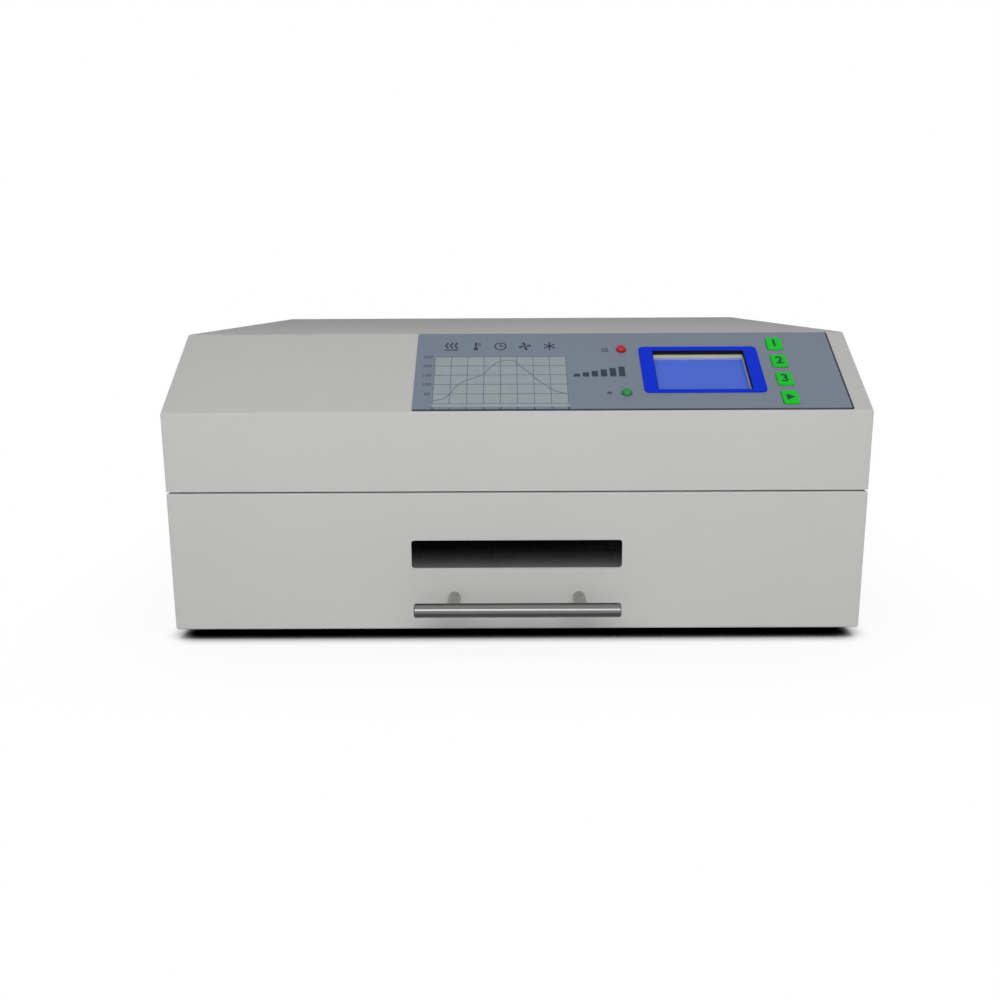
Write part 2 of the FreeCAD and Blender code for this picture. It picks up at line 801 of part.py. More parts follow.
def fan_frame(x, z):
    """A square fan frame with its motor seat on four struts."""
    body = slab(around(x, fan_size), (fan_front_y, rear_inner_y), around(z, fan_size), fan_corner, Y)
    centre = Vector(x, fan_front_y, z)
    body = body.cut(rod(centre, Y, fan_bore, fan_depth))
    seat = rod(centre, Y, fan_hub_radius, fan_seat_depth)
    struts = []
    for index in range(4):
        strut = box((fan_hub_radius - cut_margin, fan_bore + cut_margin), (fan_front_y, fan_front_y + fan_seat_depth),
                    around(0, fan_strut))
        strut.rotate(ORIGIN, Y, 45 + 90 * index)
        strut.translate(Vector(x, 0, z))
        struts.append(strut)
    bore = rod(centre + Y * (fan_seat_depth - rotor_shaft_seat), Y, rotor_shaft_radius + running_gap, rotor_shaft_seat)
    return join([body, seat] + struts).cut([bore] + holes(fan_screws))


def fan_rotor(x, z):
    """A hub with pitched blades and a short shaft."""
    hub_y = fan_front_y + fan_seat_depth + fan_seat_gap
    tip = fan_bore - rotor_tip_gap
    hub = rod(Vector(0, hub_y, 0), Y, fan_hub_radius, rotor_depth)
    swept = rod(Vector(0, hub_y, 0), Y, tip, rotor_depth)
    shaft_y = fan_front_y + fan_seat_depth - rotor_shaft_seat + fan_seat_gap / 2
    shaft = rod(Vector(0, shaft_y, 0), Y, rotor_shaft_radius, hub_y - shaft_y)
    blade = box((fan_hub_radius - cut_margin, tip + cut_margin), around(0, rotor_chord), around(0, rotor_blade))
    blade.rotate(ORIGIN, X, rotor_pitch)
    blade.translate(Vector(0, hub_y + rotor_depth / 2, 0))
    blade = blade.common(swept)
    blades = []
    for index in range(rotor_blades):
        turned = blade.copy()
        turned.rotate(ORIGIN, Y, 360.0 * index / rotor_blades)
        blades.append(turned)
    rotor = join([hub, shaft] + blades)
    rotor.translate(Vector(x, 0, z))
    return rotor


def fan_guard(x, z):
    """Wire rings welded on four spokes, which run from a hub plate to a loop at each corner screw."""
    spoke_y = rear_outer_y + guard_plate + guard_wire - wire_weld
    ring_centre = Vector(x, spoke_y + 2 * guard_wire - wire_weld, z)
    pieces = [rod(Vector(x, rear_outer_y, z), Y, guard_hub_radius, guard_plate)]
    inner = guard_hub_radius / 2
    outer = fan_hole_pitch / math.sqrt(2) - screw_size.head - fit_gap
    for cx, cz in fan_corners(x, z):
        along = Vector(cx - x, 0, cz - z).normalize()
        pieces.append(rod(Vector(x, spoke_y, z) + along * inner, along, guard_wire, outer - inner))
        pieces.append(rod(Vector(cx, rear_outer_y, cz), Y, guard_loop_radius, guard_plate))
    pieces += [Part.makeTorus(guard_first_ring + index * guard_ring_pitch, guard_wire, ring_centre, Y)
               for index in range(guard_rings)]
    return join(pieces).cut(holes(fan_screws))


def make_rear_fans():
    """Frames, rotors, guards and screws of the exhaust and cooling fans."""
    add("fan_frames", *[fan_frame(*fan) for fan in fans])
    add("exhaust_rotor", fan_rotor(*fans[0]))
    add("cooling_rotor", fan_rotor(*fans[1]))
    add("fan_guards", *[fan_guard(*fan) for fan in fans])
    add("fan_screws", *[screw_solid(screw) for screw in fan_screws])


def make_mains_inlet():
    """The mains socket with its pins, and the fuse drawer under it."""
    rim_y = rear_outer_y + inlet_rim_thick
    back_y = rear_outer_y - inlet_depth
    body = box(around(inlet_x, inlet_width), (back_y, rear_outer_y), around(inlet_z, inlet_height))
    rim = slab(around(inlet_x, inlet_width + 2 * inlet_rim), (rear_outer_y, rim_y),
               around(inlet_z, inlet_height + 2 * inlet_rim), inlet_rim, Y)
    socket_z = inlet_z + socket_lift
    socket = box(around(inlet_x, socket_width), (rim_y - socket_depth, rim_y + cut_margin), around(socket_z, socket_height))
    shoulders = [edge for edge in socket.Edges if abs(edge.tangentAt(edge.FirstParameter).dot(Y)) > 0.9
                 and edge.CenterOfMass.z > socket_z]
    socket = socket.makeChamfer(socket_chamfer, shoulders)
    pin_y = (rim_y - socket_depth - pin_root, rim_y - pin_setback)
    pins = [box(around(inlet_x + across, pin_thick), pin_y, around(socket_z + up, pin_width))
            for across, up in ((-pin_spread, -pin_step), (pin_spread, -pin_step), (0, pin_step))]
    fuse_z = inlet_z + fuse_lift
    slot = box(around(inlet_x, fuse_width + 2 * fuse_gap), (rim_y - fuse_depth - fuse_gap, rim_y + cut_margin),
               around(fuse_z, fuse_height + 2 * fuse_gap))
    add("mains_inlet", join([body, rim]).cut([socket, slot] + pins))
    add("inlet_pins", *pins)

    carrier = box(around(inlet_x, fuse_width), (rim_y - fuse_depth, rim_y + fuse_face_thick), around(fuse_z, fuse_height))
    face = box(around(inlet_x, fuse_width + 2 * fuse_face_rim), (rim_y, rim_y + fuse_face_thick),
               around(fuse_z, fuse_height + 2 * fuse_face_rim))
    centre = Vector(inlet_x - fuse_length / 2, rim_y - fuse_depth + fuse_setback, fuse_z)
    trough = rod(centre - X * fuse_trough, X, fuse_radius + fuse_trough, fuse_length + 2 * fuse_trough)
    mouth = box(around(inlet_x, fuse_length + 2 * fuse_trough), around(centre.y, 2 * (fuse_radius + fuse_trough)),
                (fuse_z, fuse_z + fuse_height))
    fuse = rod(centre, X, fuse_radius, fuse_length)
    add("fuse_drawer", join([carrier, face]).cut([trough, mouth]), fuse)


def make_power_switch():
    """The rocker switch: a housing, and a rocker on two short pins at its off tilt."""
    rim_y = rear_outer_y + switch_rim_thick
    back_y = rear_outer_y - switch_depth
    pivot = Vector(switch_x, rear_outer_y - rocker_pivot_depth, inlet_z)
    body = box(around(switch_x, switch_width), (back_y, rear_outer_y), around(inlet_z, switch_height))
    rim = slab(around(switch_x, switch_width + 2 * switch_rim), (rear_outer_y, rim_y),
               around(inlet_z, switch_height + 2 * switch_rim), switch_rim, Y)
    well_half = switch_width / 2 - switch_wall
    well = box((switch_x - well_half, switch_x + well_half), (back_y + sheet, rim_y + cut_margin),
               around(inlet_z, switch_height - 2 * switch_wall))
    pin_way = rod(pivot - X * (switch_width / 2 + cut_margin), X, rocker_pin_radius + running_gap,
                  switch_width + 2 * cut_margin)
    add("switch_housing", join([body, rim]).cut([well, pin_way]))

    rocker_half = well_half - rocker_side_gap
    tip = switch_height / 2 - switch_wall - switch_end_gap
    y, z = pivot.y, pivot.z
    profile = [(y + rocker_crest, z - tip), (y + rocker_dip, z), (y + rocker_crest, z + tip),
               (y + rocker_shoulder, z + tip), (y - rocker_root, z + tip / 2),
               (y - rocker_root, z - tip / 2), (y + rocker_shoulder, z - tip)]
    paddle = prism(profile, (switch_x - rocker_half, switch_x + rocker_half))
    pin_half = rocker_half + rocker_pin_length
    pin = rod(pivot - X * pin_half, X, rocker_pin_radius, 2 * pin_half)
    rocker = join([paddle, pin])
    rocker.rotate(pivot, X, -rocker_tilt)
    add("power_rocker", rocker)


def make_feet_and_screws():
    """The four feet, and the screws that hold the casing together."""
    feet = []
    for screw in foot_screws:
        place = Vector(screw.seat.x, screw.seat.y, 0)
        cone = Part.makeCone(foot_radius - foot_taper, foot_radius, foot_height, place, Z)
        recess = rod(place - Z * cut_margin, Z, foot_bore_radius, foot_height - foot_seat_thick + cut_margin)
        feet.append(cone.cut([recess, screw_hole(screw)]))
    add("rubber_feet", *feet)
    screws = wall_screws + flange_screws + lip_screws + sill_screws + shelf_screws + foot_screws
    add("case_screws", *[screw_solid(screw) for screw in screws])


def make_drawer_front():
    """The folded front of the drawer with its board, inner sheet and seal."""
    outer = box((-half_width, half_width), (0, front_depth), (base_z, drawer_top_z))
    bends = [edge for edge in outer.Edges if edge.CenterOfMass.y < front_depth - fit_gap]
    pan = outer.makeFillet(bend_radius, bends)
    hollow = box((-half_width + sheet, half_width - sheet), (sheet, front_depth + cut_margin),
                 (base_z + sheet, drawer_top_z - sheet))
    slot = slab(around(0, window_width), (-cut_margin, sheet + cut_margin), around(window_z, window_height),
                window_corner, Y)
    add("drawer_front", pan.cut([hollow, slot] + holes(post_screws)))

    across = (-drawer_inner_x, drawer_inner_x)
    up = (drawer_floor_z, drawer_roof_z)
    glass_y = (sheet, sheet + glass_thick)
    glass_width = window_width + 2 * glass_lap
    glass_height = window_height + 2 * glass_lap
    tunnel_width = window_width + 2 * (tunnel_lap + tunnel_wall)
    tunnel_height = window_height + 2 * (tunnel_lap + tunnel_wall)
    recess = box(around(0, glass_width + 2 * fit_gap), (0, glass_y[1] + tunnel_wall + fit_gap),
                 around(window_z, glass_height + 2 * fit_gap))
    passage = box(around(0, tunnel_width + 2 * fit_gap), (0, front_depth + cut_margin),
                  around(window_z, tunnel_height + 2 * fit_gap))
    head_pockets = [rod(screw.seat, Y, screw_size.head + fit_gap, screw_size.rise + fit_gap) for screw in post_screws]
    board = box(across, (sheet, panel_front_y), up)
    add("drawer_insulation", board.cut([recess, passage] + head_pockets + holes(arm_screws + tray_screws)))
    panel = box(across, (panel_front_y, front_depth), up)
    add("drawer_inner_panel", panel.cut([passage] + holes(arm_screws + tray_screws)))

    add("window_glass", box(around(0, glass_width), glass_y, around(window_z, glass_height)))
    rim = box(around(0, glass_width), (glass_y[1], glass_y[1] + tunnel_wall), around(window_z, glass_height))
    sleeve = box(around(0, tunnel_width), (glass_y[1], front_depth), around(window_z, tunnel_height))
    way = box(around(0, tunnel_width - 2 * tunnel_wall), (glass_y[1] - cut_margin, front_depth + cut_margin),
              around(window_z, tunnel_height - 2 * tunnel_wall))
    add("window_frame", join([rim, sleeve]).cut(way))

    inner = cavity_half + gasket_margin
    low = cavity_floor_z - gasket_margin
    high = cavity_roof_z + gasket_margin
    span = (front_depth, bulkhead_y)
    ring = box((-inner - gasket_width, inner + gasket_width), span, (low - gasket_width, high + gasket_width))
    hole = box((-inner, inner), (front_depth - cut_margin, bulkhead_y + cut_margin), (low, high))
    add("door_gasket", ring.cut(hole))


def make_handle():
    """A round bar on two posts that are screwed on from inside the drawer front."""
    bar = rod(Vector(-handle_length / 2, -handle_reach, handle_z), X, handle_radius, handle_length)
    posts = []
    for screw in post_screws:
        post = rod(Vector(screw.seat.x, -handle_reach, handle_z), Y, post_radius, handle_reach)
        posts.append(post.cut([bar, screw_hole(screw)]))
    ends = [edge for edge in bar.Edges if edge.Curve.TypeId == "Part::GeomCircle"]
    add("handle_bar", bar.makeChamfer(handle_chamfer, ends))
    add("handle_posts", *posts)
    add("drawer_screws", *[screw_solid(screw) for screw in post_screws + arm_screws + tray_screws])


def make_tray():
    """The tray, four walls welded on a ledge behind the drawer front, and the wire rack that it carries."""
    tray_span = (front_depth, tray_back_y)
    inner_half = tray_half - tray_sheet
    inner_span = (front_depth + tray_sheet, tray_back_y - tray_sheet)
    gap_half = inner_half - tray_ledge
    gap_span = (inner_span[0] + tray_ledge, inner_span[1] - tray_ledge)
    ledge = box((-tray_half, tray_half), tray_span, (tray_z, tray_z + tray_sheet))
    gap = box((-gap_half, gap_half), gap_span, (tray_z - cut_margin, tray_z + 2 * tray_sheet))
    wall_up = (tray_z + tray_sheet, tray_z + tray_height)
    sides = both_sides(box((inner_half, tray_half), tray_span, wall_up))
    front = box((-inner_half, inner_half), (tray_span[0], inner_span[0]), wall_up)
    back = box((-inner_half, inner_half), (inner_span[1], tray_span[1]), wall_up)
    add("tray_frame", ledge.cut(gap), front.cut(holes(tray_screws)), back, *sides)

    bar_z = tray_z + tray_sheet + rack_bar_radius
    wire_z = bar_z + rack_bar_radius + rack_wire_radius - wire_weld
    rack_half = inner_half - fit_gap
    head_room = screw_size.rise + fit_gap
    ends = (inner_span[0] + head_room, inner_span[1] - head_room)
    bar_ys = spread(ends[0] + rack_bar_radius, ends[1] - rack_bar_radius, rack_bar_count)
    wire_reach = rack_half - rack_wire_radius
    rods = [rod(Vector(-rack_half, y, bar_z), X, rack_bar_radius, 2 * rack_half) for y in bar_ys]
    rods += [rod(Vector(x, ends[0], wire_z), Y, rack_wire_radius, ends[1] - ends[0])
             for x in spread(-wire_reach, wire_reach, rack_wire_count)]
    add("wire_rack", join(rods))


def rail(back, lip, half_height):
    """One channel of a slide, with depths measured in from the chassis wall."""
    def depth(pair):
        return (wall_inner_x - pair[1], wall_inner_x - pair[0])

    web = box(depth(back), slide_span, (slide_z - half_height, slide_z + half_height))
    top = box(depth(lip), slide_span, (slide_z + half_height - slide_sheet, slide_z + half_height))
    low = box(depth(lip), slide_span, (slide_z - half_height, slide_z - half_height + slide_sheet))
    return both_sides(join([web, top, low]))


def ball_cages(depth, race):
    """Strips of balls between two rails, above and below and on both sides."""
    solids = []
    x = wall_inner_x - depth
    start = slide_front_y + cage_start
    length = ball_pitch * (ball_count - 1) + 2 * cage_end
    for side in (-1, 1):
        z = slide_z + side * race
        strip = box(around(x, cage_width), (start, start + length), around(z, cage_thick))
        centres = [Vector(x, start + cage_end + ball_pitch * index, z) for index in range(ball_count)]
        pockets = [Part.makeSphere(ball_radius + cage_hole_gap, centre) for centre in centres]
        solids += both_sides(strip.cut(pockets))
        for centre in centres:
            solids += both_sides(Part.makeSphere(ball_radius, centre))
    return solids


def make_slides():
    """Three-part ball slides on both sides, and the arms that carry the drawer."""
    race = 2 * (ball_radius + running_gap)
    outer_half = slide_height / 2
    middle_half = outer_half - slide_sheet - race
    inner_half = middle_half - slide_sheet - race
    middle_back = slide_sheet + middle_rail_gap
    add("slide_outer_rails", *rail((0, slide_sheet), (0, outer_rail_lip), outer_half))
    add("slide_middle_rails", *rail((middle_back, middle_back + slide_sheet),
                                    (middle_back, middle_back + middle_rail_lip), middle_half))
    add("slide_inner_rails", *rail((slide_depth - slide_sheet, slide_depth),
                                   (slide_depth - inner_rail_lip, slide_depth), inner_half))
    add("outer_ball_cages", *ball_cages(outer_ball_depth, middle_half + race / 2))
    add("inner_ball_cages", *ball_cages(inner_ball_depth, inner_half + race / 2))

    up = around(slide_z, arm_height)
    plate = box((arm_x, arm_x + arm_sheet), (front_depth, slide_span[1]), up)
    flange = box((arm_x, arm_x + arm_flange), (front_depth, front_depth + arm_sheet), up)
    arm_holes = holes(arm_screws)
    add("drawer_arms", *[arm.cut(arm_holes) for arm in both_sides(join([plate, flange]))])


def make_panel():
    """The overlay, the display and its frame, and the two lamps."""
    overlay_v = slope_length / 2 - overlay_edge
    overlay = slab((panel_right - overlay_width, panel_right), (-overlay_v, overlay_v), (0, overlay_thick),
                   overlay_corner, Z)
    add("panel_overlay", on_slope(overlay.cut(panel_openings((-sheet, sheet)))))

    bezel_w = (overlay_thick, overlay_thick + bezel_thick)
    bezel = slab(around(display_x, bezel_width), around(0, bezel_height), bezel_w, bezel_corner, Z)
    add("display_bezel", on_slope(bezel.cut(pane_opening((0, bezel_w[1] + cut_margin)))))

    frame_u = around(display_x, pane_width + 2 * frame_rim)
    frame_v = around(pane_v, pane_height + 2 * frame_rim)
    pad = box(frame_u, frame_v, (frame_face_w, -sheet))
    add("display_gasket", on_slope(pad.cut(pane_opening((frame_face_w - cut_margin, 0)))))

    case = box(frame_u, frame_v, (board_face_w, frame_face_w))
    inside = box((frame_u[0] + frame_wall, frame_u[1] - frame_wall), (frame_v[0] + frame_wall, frame_v[1] - frame_wall),
                 (board_face_w - cut_margin, frame_face_w - frame_face))
    view = box(around(display_x, view_width), around(pane_v, view_height), (board_face_w, frame_face_w + cut_margin))
    add("display_frame", on_slope(case.cut([inside, view])))
    lcd_w = (frame_face_w - frame_face - lcd_thick, frame_face_w - frame_face)
    add("display_glass", on_slope(box(around(display_x, view_width + 2 * lcd_lap),
                                      around(pane_v, view_height + 2 * lcd_lap), lcd_w)))
    board_u = (led_x - display_board_edge, frame_u[1] + frame_wall)
    board_w = (board_face_w - board_thick, board_face_w)
    add("display_board", on_slope(box(board_u, (-display_board_v, display_board_v), board_w)))

    lamps = []
    for v in led_places:
        top_w = overlay_thick + led_rise
        barrel = rod(Vector(led_x, v, board_face_w), Z, led_radius, top_w - board_face_w)
        dome = Part.makeSphere(led_radius, Vector(led_x, v, top_w))
        lamps.append(on_slope(join([barrel, dome])))
    add("status_leds", *lamps)
    return board_u


def make_keys(board_u):
    """Four push keys over their switches, and the posts behind the panel."""
    tact_top = board_face_w + tact_height
    cap_foot = -sheet - panel_hole_gap
    rim_foot = cap_foot - key_rim_thick
    stem_foot = tact_top - key_stem_reach
    board_v = key_pitch * (key_count - 1) / 2 + key_height / 2 + key_board_edge / 2
    board = box(around(key_x, key_board_width), (-board_v, board_v), (board_face_w - board_thick, board_face_w))
    switches = []
    for index, v in enumerate(key_places):
        bore = rod(Vector(key_x, v, tact_top - key_bore_depth), Z, key_stem_radius + 2 * running_gap,
                   key_bore_depth + cut_margin)
        tact = box(around(key_x, tact_size), around(v, tact_size), (board_face_w, tact_top))
        switches.append(on_slope(tact.cut(bore)))
        cap = slab(around(key_x, key_width), around(v, key_height), (cap_foot, key_rise), key_corner, Z)
        cap = cap.makeFillet(key_edge, edges_at(cap, key_rise))
        rim = box(around(key_x, key_width + 2 * key_rim), around(v, key_height + 2 * key_rim), (rim_foot, cap_foot))
        stem = rod(Vector(key_x, v, stem_foot), Z, key_stem_radius, rim_foot - stem_foot)
        add(f"key_{index + 1}", on_slope(join([cap, rim, stem])))
    add("key_board", on_slope(board), *switches)

    post = -sheet - board_face_w
    display_v = display_board_v - standoff_inset
    places = [(u, v) for u in (board_u[0] + standoff_inset, board_u[1] - standoff_inset)
              for v in (-display_v, display_v)]
    places += [(key_x + key_board_width / 2 - standoff_inset, v) for v in (-key_pitch, key_pitch)]
    panel_posts = [on_slope(rod(Vector(u, v, board_face_w), Z, standoff_radius, post)) for u, v in places]
    shelf_posts = [rod(Vector(board_x + across * (board_width / 2 - standoff_inset),
                              board_y + along * (board_length / 2 - standoff_inset), shelf_top_z),
                       Z, standoff_radius, board_lift) for across in (-1, 1) for along in (-1, 1)]
    add("board_standoffs", *(panel_posts + shelf_posts))


def make_shelf():
    """The shelf over the chamber, with the power board, transformer and heat sink on it."""
    shelf = box((-wall_outer_x, wall_outer_x), (bulkhead_y, rear_inner_y - shelf_setback), (shelf_z, shelf_top_z))
    add("electronics_shelf", shelf.cut(holes(shelf_screws) + probe_rods(probe_radius + fit_gap)))

    board_z = shelf_top_z + board_lift
    part_z = board_z + board_thick
    board = box(around(board_x, board_width), around(board_y, board_length), (board_z, part_z))
    row = capacitor_pitch * (capacitor_count - 1) / 2
    capacitors = [rod(Vector(x, board_y + board_length / 4, part_z), Z, capacitor_radius, capacitor_height)
                  for x in spread(board_x - row, board_x + row, capacitor_count)]
    terminal = box(around(board_x, terminal_length), around(board_y - board_length / 4, terminal_depth),
                   (part_z, part_z + terminal_height))
    add("power_board", board, terminal, *capacitors)

    core_x = half_width - core_inset
    core = box(around(core_x, core_width), around(core_y, core_depth), (shelf_top_z, shelf_top_z + core_height))
    winding = box(around(core_x, winding_width), around(core_y, winding_depth),
                  around(shelf_top_z + core_height / 2, winding_height))
    add("transformer", core.cut(winding), winding)

    sink_x = sink_inset - half_width
    base = box(around(sink_x, sink_width), around(sink_y, sink_length),
               (shelf_top_z + relay_height, shelf_top_z + relay_height + sink_base))
    fin_z = (shelf_top_z + relay_height, shelf_top_z + relay_height + sink_base + sink_fin_height)
    fin_reach = (sink_width - sink_fin) / 2
    fins = [box(around(x, sink_fin), around(sink_y, sink_length), fin_z)
            for x in spread(sink_x - fin_reach, sink_x + fin_reach, sink_fin_count)]
    relays = [box(around(sink_x, relay_width), around(sink_y + step, relay_depth), (shelf_top_z, fin_z[0]))
              for step in (-relay_pitch / 2, relay_pitch / 2)]
    add("heat_sink", join([base] + fins), *relays)


def middle_of_base():
    """The move that puts the origin at the middle of the base."""
    bounds = Part.makeCompound([solid for solids in nodes.values() for solid in solids]).BoundBox
    return Vector(-(bounds.XMin + bounds.XMax) / 2, -(bounds.YMin + bounds.YMax) / 2, -bounds.ZMin)


make_top_cover()
make_base_pan()
make_rear_panel()
make_front_bulkhead()
make_chamber()
make_heaters()
make_circulation_fan()
make_exhaust_duct()
make_rear_fans()
make_mains_inlet()
make_power_switch()
make_feet_and_screws()
make_drawer_front()
make_handle()
make_tray()
make_slides()
make_keys(make_panel())
make_shelf()

move = middle_of_base()
os.makedirs("parts", exist_ok=True)
for name, solids in nodes.items():
    shape = solids[0] if len(solids) == 1 else Part.makeCompound(solids)
    shape.translate(move)
    shape.exportStep(f"parts/{name}.step")
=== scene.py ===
"""Looks of a benchtop reflow oven: finishes, panel print, seals, heater wire and studio."""

import json
import math

import bmesh
import bpy
from bpy.props import FloatProperty, FloatVectorProperty, IntProperty, PointerProperty
from bpy.types import Operator, Panel, PropertyGroup
from mathutils import Matrix, Vector
from mathutils.geometry import interpolate_bezier

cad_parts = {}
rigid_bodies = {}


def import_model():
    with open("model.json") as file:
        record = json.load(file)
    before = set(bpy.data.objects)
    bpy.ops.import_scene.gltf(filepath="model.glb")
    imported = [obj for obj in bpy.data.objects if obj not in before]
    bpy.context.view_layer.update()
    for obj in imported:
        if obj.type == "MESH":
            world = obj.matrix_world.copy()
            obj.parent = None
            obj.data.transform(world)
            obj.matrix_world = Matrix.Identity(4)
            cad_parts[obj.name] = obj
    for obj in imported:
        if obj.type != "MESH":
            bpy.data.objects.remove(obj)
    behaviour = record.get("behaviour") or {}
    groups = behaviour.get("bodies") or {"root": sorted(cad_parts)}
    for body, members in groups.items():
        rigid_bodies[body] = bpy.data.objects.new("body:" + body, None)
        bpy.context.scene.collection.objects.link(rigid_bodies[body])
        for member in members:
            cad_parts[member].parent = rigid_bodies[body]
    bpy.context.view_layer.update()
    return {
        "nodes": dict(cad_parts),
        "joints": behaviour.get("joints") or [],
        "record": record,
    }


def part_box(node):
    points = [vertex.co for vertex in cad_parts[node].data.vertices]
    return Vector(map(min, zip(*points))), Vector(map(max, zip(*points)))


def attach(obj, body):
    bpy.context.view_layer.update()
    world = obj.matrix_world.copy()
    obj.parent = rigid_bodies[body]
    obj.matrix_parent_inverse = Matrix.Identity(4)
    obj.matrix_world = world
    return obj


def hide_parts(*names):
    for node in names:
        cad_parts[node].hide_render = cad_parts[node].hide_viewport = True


for leftover in list(bpy.data.objects):
    bpy.data.objects.remove(leftover)
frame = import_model()

bl_info = {
    "name": "Reflow oven looks",
    "version": (1, 0, 0),
    "blender": (4, 5, 0),
    "location": "3D View > Sidebar > Reflow oven",
    "description": "Finishes, panel print, seals, heater wire and studio of a benchtop reflow oven",
    "category": "Object",
}

MM = 0.001
FONT_SIZE_PER_HEIGHT = 1.4
BASE_COLOURS = {row["slot"]: tuple(row["base_color"][:3]) for row in frame["record"]["materials"]}


def linear(*levels):
    """A colour in screen levels of 0 to 255, as the linear values that shaders take."""
    shares = [level / 255 for level in levels]
    return tuple(((share + 0.055) / 1.055) ** 2.4 if share > 0.04045 else share / 12.92 for share in shares)


def tint(name, description, *levels):
    """A colour property with its default in screen levels."""
    return FloatVectorProperty(name=name, description=description, subtype="COLOR", size=3, min=0.0,
                               max=1.0, default=linear(*levels))


def length(name, description, millimetres):
    """A length property with its default in millimetres."""
    return FloatProperty(name=name, description=description, unit="LENGTH", subtype="DISTANCE", precision=5,
                         default=millimetres * MM)


def count(name, description, number):
    """A property for a number of things or steps."""
    return IntProperty(name=name, description=description, min=1, default=number)


def turn(name, description, degrees):
    """An angle property with its default in degrees."""
    return FloatProperty(name=name, description=description, unit="ROTATION", subtype="ANGLE",
                         default=math.radians(degrees))


def power(name, description, watts):
    """A lamp's power property."""
    return FloatProperty(name=name, description=description, unit="POWER", min=0.0, default=watts)


class OvenColours(PropertyGroup):
    """Colours of the surfaces that show from outside."""

    casing: tint("Casing", "Powder coat of the cover, drawer front and rear panel", 186, 186, 185)
    film: tint("Panel film", "Printed film on the slope", 111, 121, 135)
    # Painted shade: this dark colour on the film's cut edge and in a band along its lower and right edges
    # stands in for the shadow at the film's edges.
    film_edge: tint("Film edge", "Cut edge and border of the panel film", 44, 48, 56)
    ink: tint("Ink", "Dark print on the panel film", 44, 52, 68)
    chart: tint("Chart field", "Pale field behind the temperature chart", 143, 153, 158)
    chart_line: tint("Chart lines", "Grid and profile of the temperature chart", 98, 105, 112)
    bezel: tint("Bezel", "Blue surround of the display", 8, 46, 200)
    screen: tint("Screen", "Lit background of the display", 67, 96, 193)
    display_tin: tint("Display frame", "Dull tinned frame round the screen", 205, 205, 202)
    key: tint("Keys", "Four green keys", 12, 186, 36)
    key_ink: tint("Key legends", "Dark print on the keys", 14, 62, 52)
    heat_lamp: tint("Heating lamp", "Upper lamp's lens", 160, 8, 24)
    cool_lamp: tint("Cooling lamp", "Lower lamp's lens", 30, 128, 62)
    plastic: tint("Black plastic", "Fans, mains inlet and switch body", 34, 34, 36)
    rocker: tint("Rocker", "Mains switch rocker", 176, 20, 22)
    rocker_ink: tint("Rocker marks", "Moulded marks on the rocker", 236, 232, 224)
    pane: tint("Window", "Smoked heat-proof glass", 62, 63, 64)
    handle: tint("Handle", "Brushed steel of the handle", 122, 122, 121)
    # Painted shade: a darker colour for the handle bar's underside, standing in for the shade below it.
    handle_under: tint("Handle underside", "Duller steel below the handle", 68, 68, 68)
    post: tint("Handle posts", "Bright steel of the handle's posts", 168, 168, 164)
    seal: tint("Door seal", "Woven seal round the drawer's back", 150, 140, 120)
    rubber: tint("Feet", "Rubber of the feet", 26, 26, 27)


class OvenPanel(PropertyGroup):
    """Sizes of the print on the panel film; places are from the middle of the film."""

    chart_x: length("Chart middle across", "Middle of the chart along the film", -98.2)
    chart_y: length("Chart middle up", "Middle of the chart up the slope", -11.3)
    chart_width: length("Chart width", "Width of the chart's grid", 102.0)
    chart_apron: length("Chart apron", "Height of the field below the grid", 3.6)
    chart_height: length("Chart height", "Height of the chart's grid", 56.5)
    chart_round: length("Chart rounding", "Rounding of the chart field's corners", 1.2)
    chart_columns: count("Chart columns", "Columns of the chart's grid", 8)
    chart_rows: count("Chart rows", "Rows of the chart's grid", 5)
    chart_step: count("Chart step", "Degrees from one row to the next", 50)
    line_width: length("Line width", "Width of the chart's grid lines", 0.55)
    profile_width: length("Profile width", "Width of the chart's profile line", 0.66)
    number_height: length("Number height", "Height of the chart's numbers", 3.4)
    # Painted shade: width of the dark band along the film's lower and right edges.
    border_width: length("Border width", "Width of the dark border along two edges of the film", 1.5)
    ink_thick: length("Ink thickness", "Thickness of one printed layer", 0.05)
    sign_y: length("Sign row up", "Middle of the row of signs above the chart", 30.4)
    sign_height: length("Sign height", "Height of the signs above the chart", 10.0)
    sign_pitch: length("Sign pitch", "Distance between the signs above the chart", 19.5)
    level_x: length("Level bars across", "Middle of the level bars along the film", -20.8)
    level_y: length("Level bars up", "Middle of the level bars up the slope", -2.0)
    level_bars: count("Level bars", "Number of level bars", 6)
    level_width: length("Level bars width", "Width of the row of level bars", 42.0)
    level_height: length("Level bars height", "Height of the tallest level bar", 12.0)
    lamp_sign_gap: length("Lamp sign gap", "Distance of a lamp's sign from the lamp", 13.0)
    lamp_sign_height: length("Lamp sign height", "Height of a lamp's sign", 5.0)
    legend_height: length("Legend height", "Height of the key legends", 8.6)
    mark_height: length("Rocker mark height", "Height of the marks on the rocker", 6.0)


class OvenHeat(PropertyGroup):
    """Sizes of the seals, the painted-shade sleeve in the display's opening and the heater wire."""

    seal_round: length("Seal rounding", "Rounding of the door seal's edges", 0.6)
    foam_round: length("Foam rounding", "Rounding of the display foam's edges", 0.3)
    # Painted shade: the gap and wall of the black sleeve in the display's opening.
    liner_gap: length("Liner gap", "Gap round the liner in the display's opening", 0.05)
    liner_wall: length("Liner wall", "Wall of the liner in the display's opening", 0.3)
    coil_radius: length("Coil radius", "Radius of the heater coil", 3.0)
    coil_pitch: length("Coil pitch", "Distance from one turn of the coil to the next", 5.0)
    wire_radius: length("Wire radius", "Radius of the heater wire", 0.5)
    coil_margin: length("Coil margin", "Bare length at each end of a tube", 16.0)


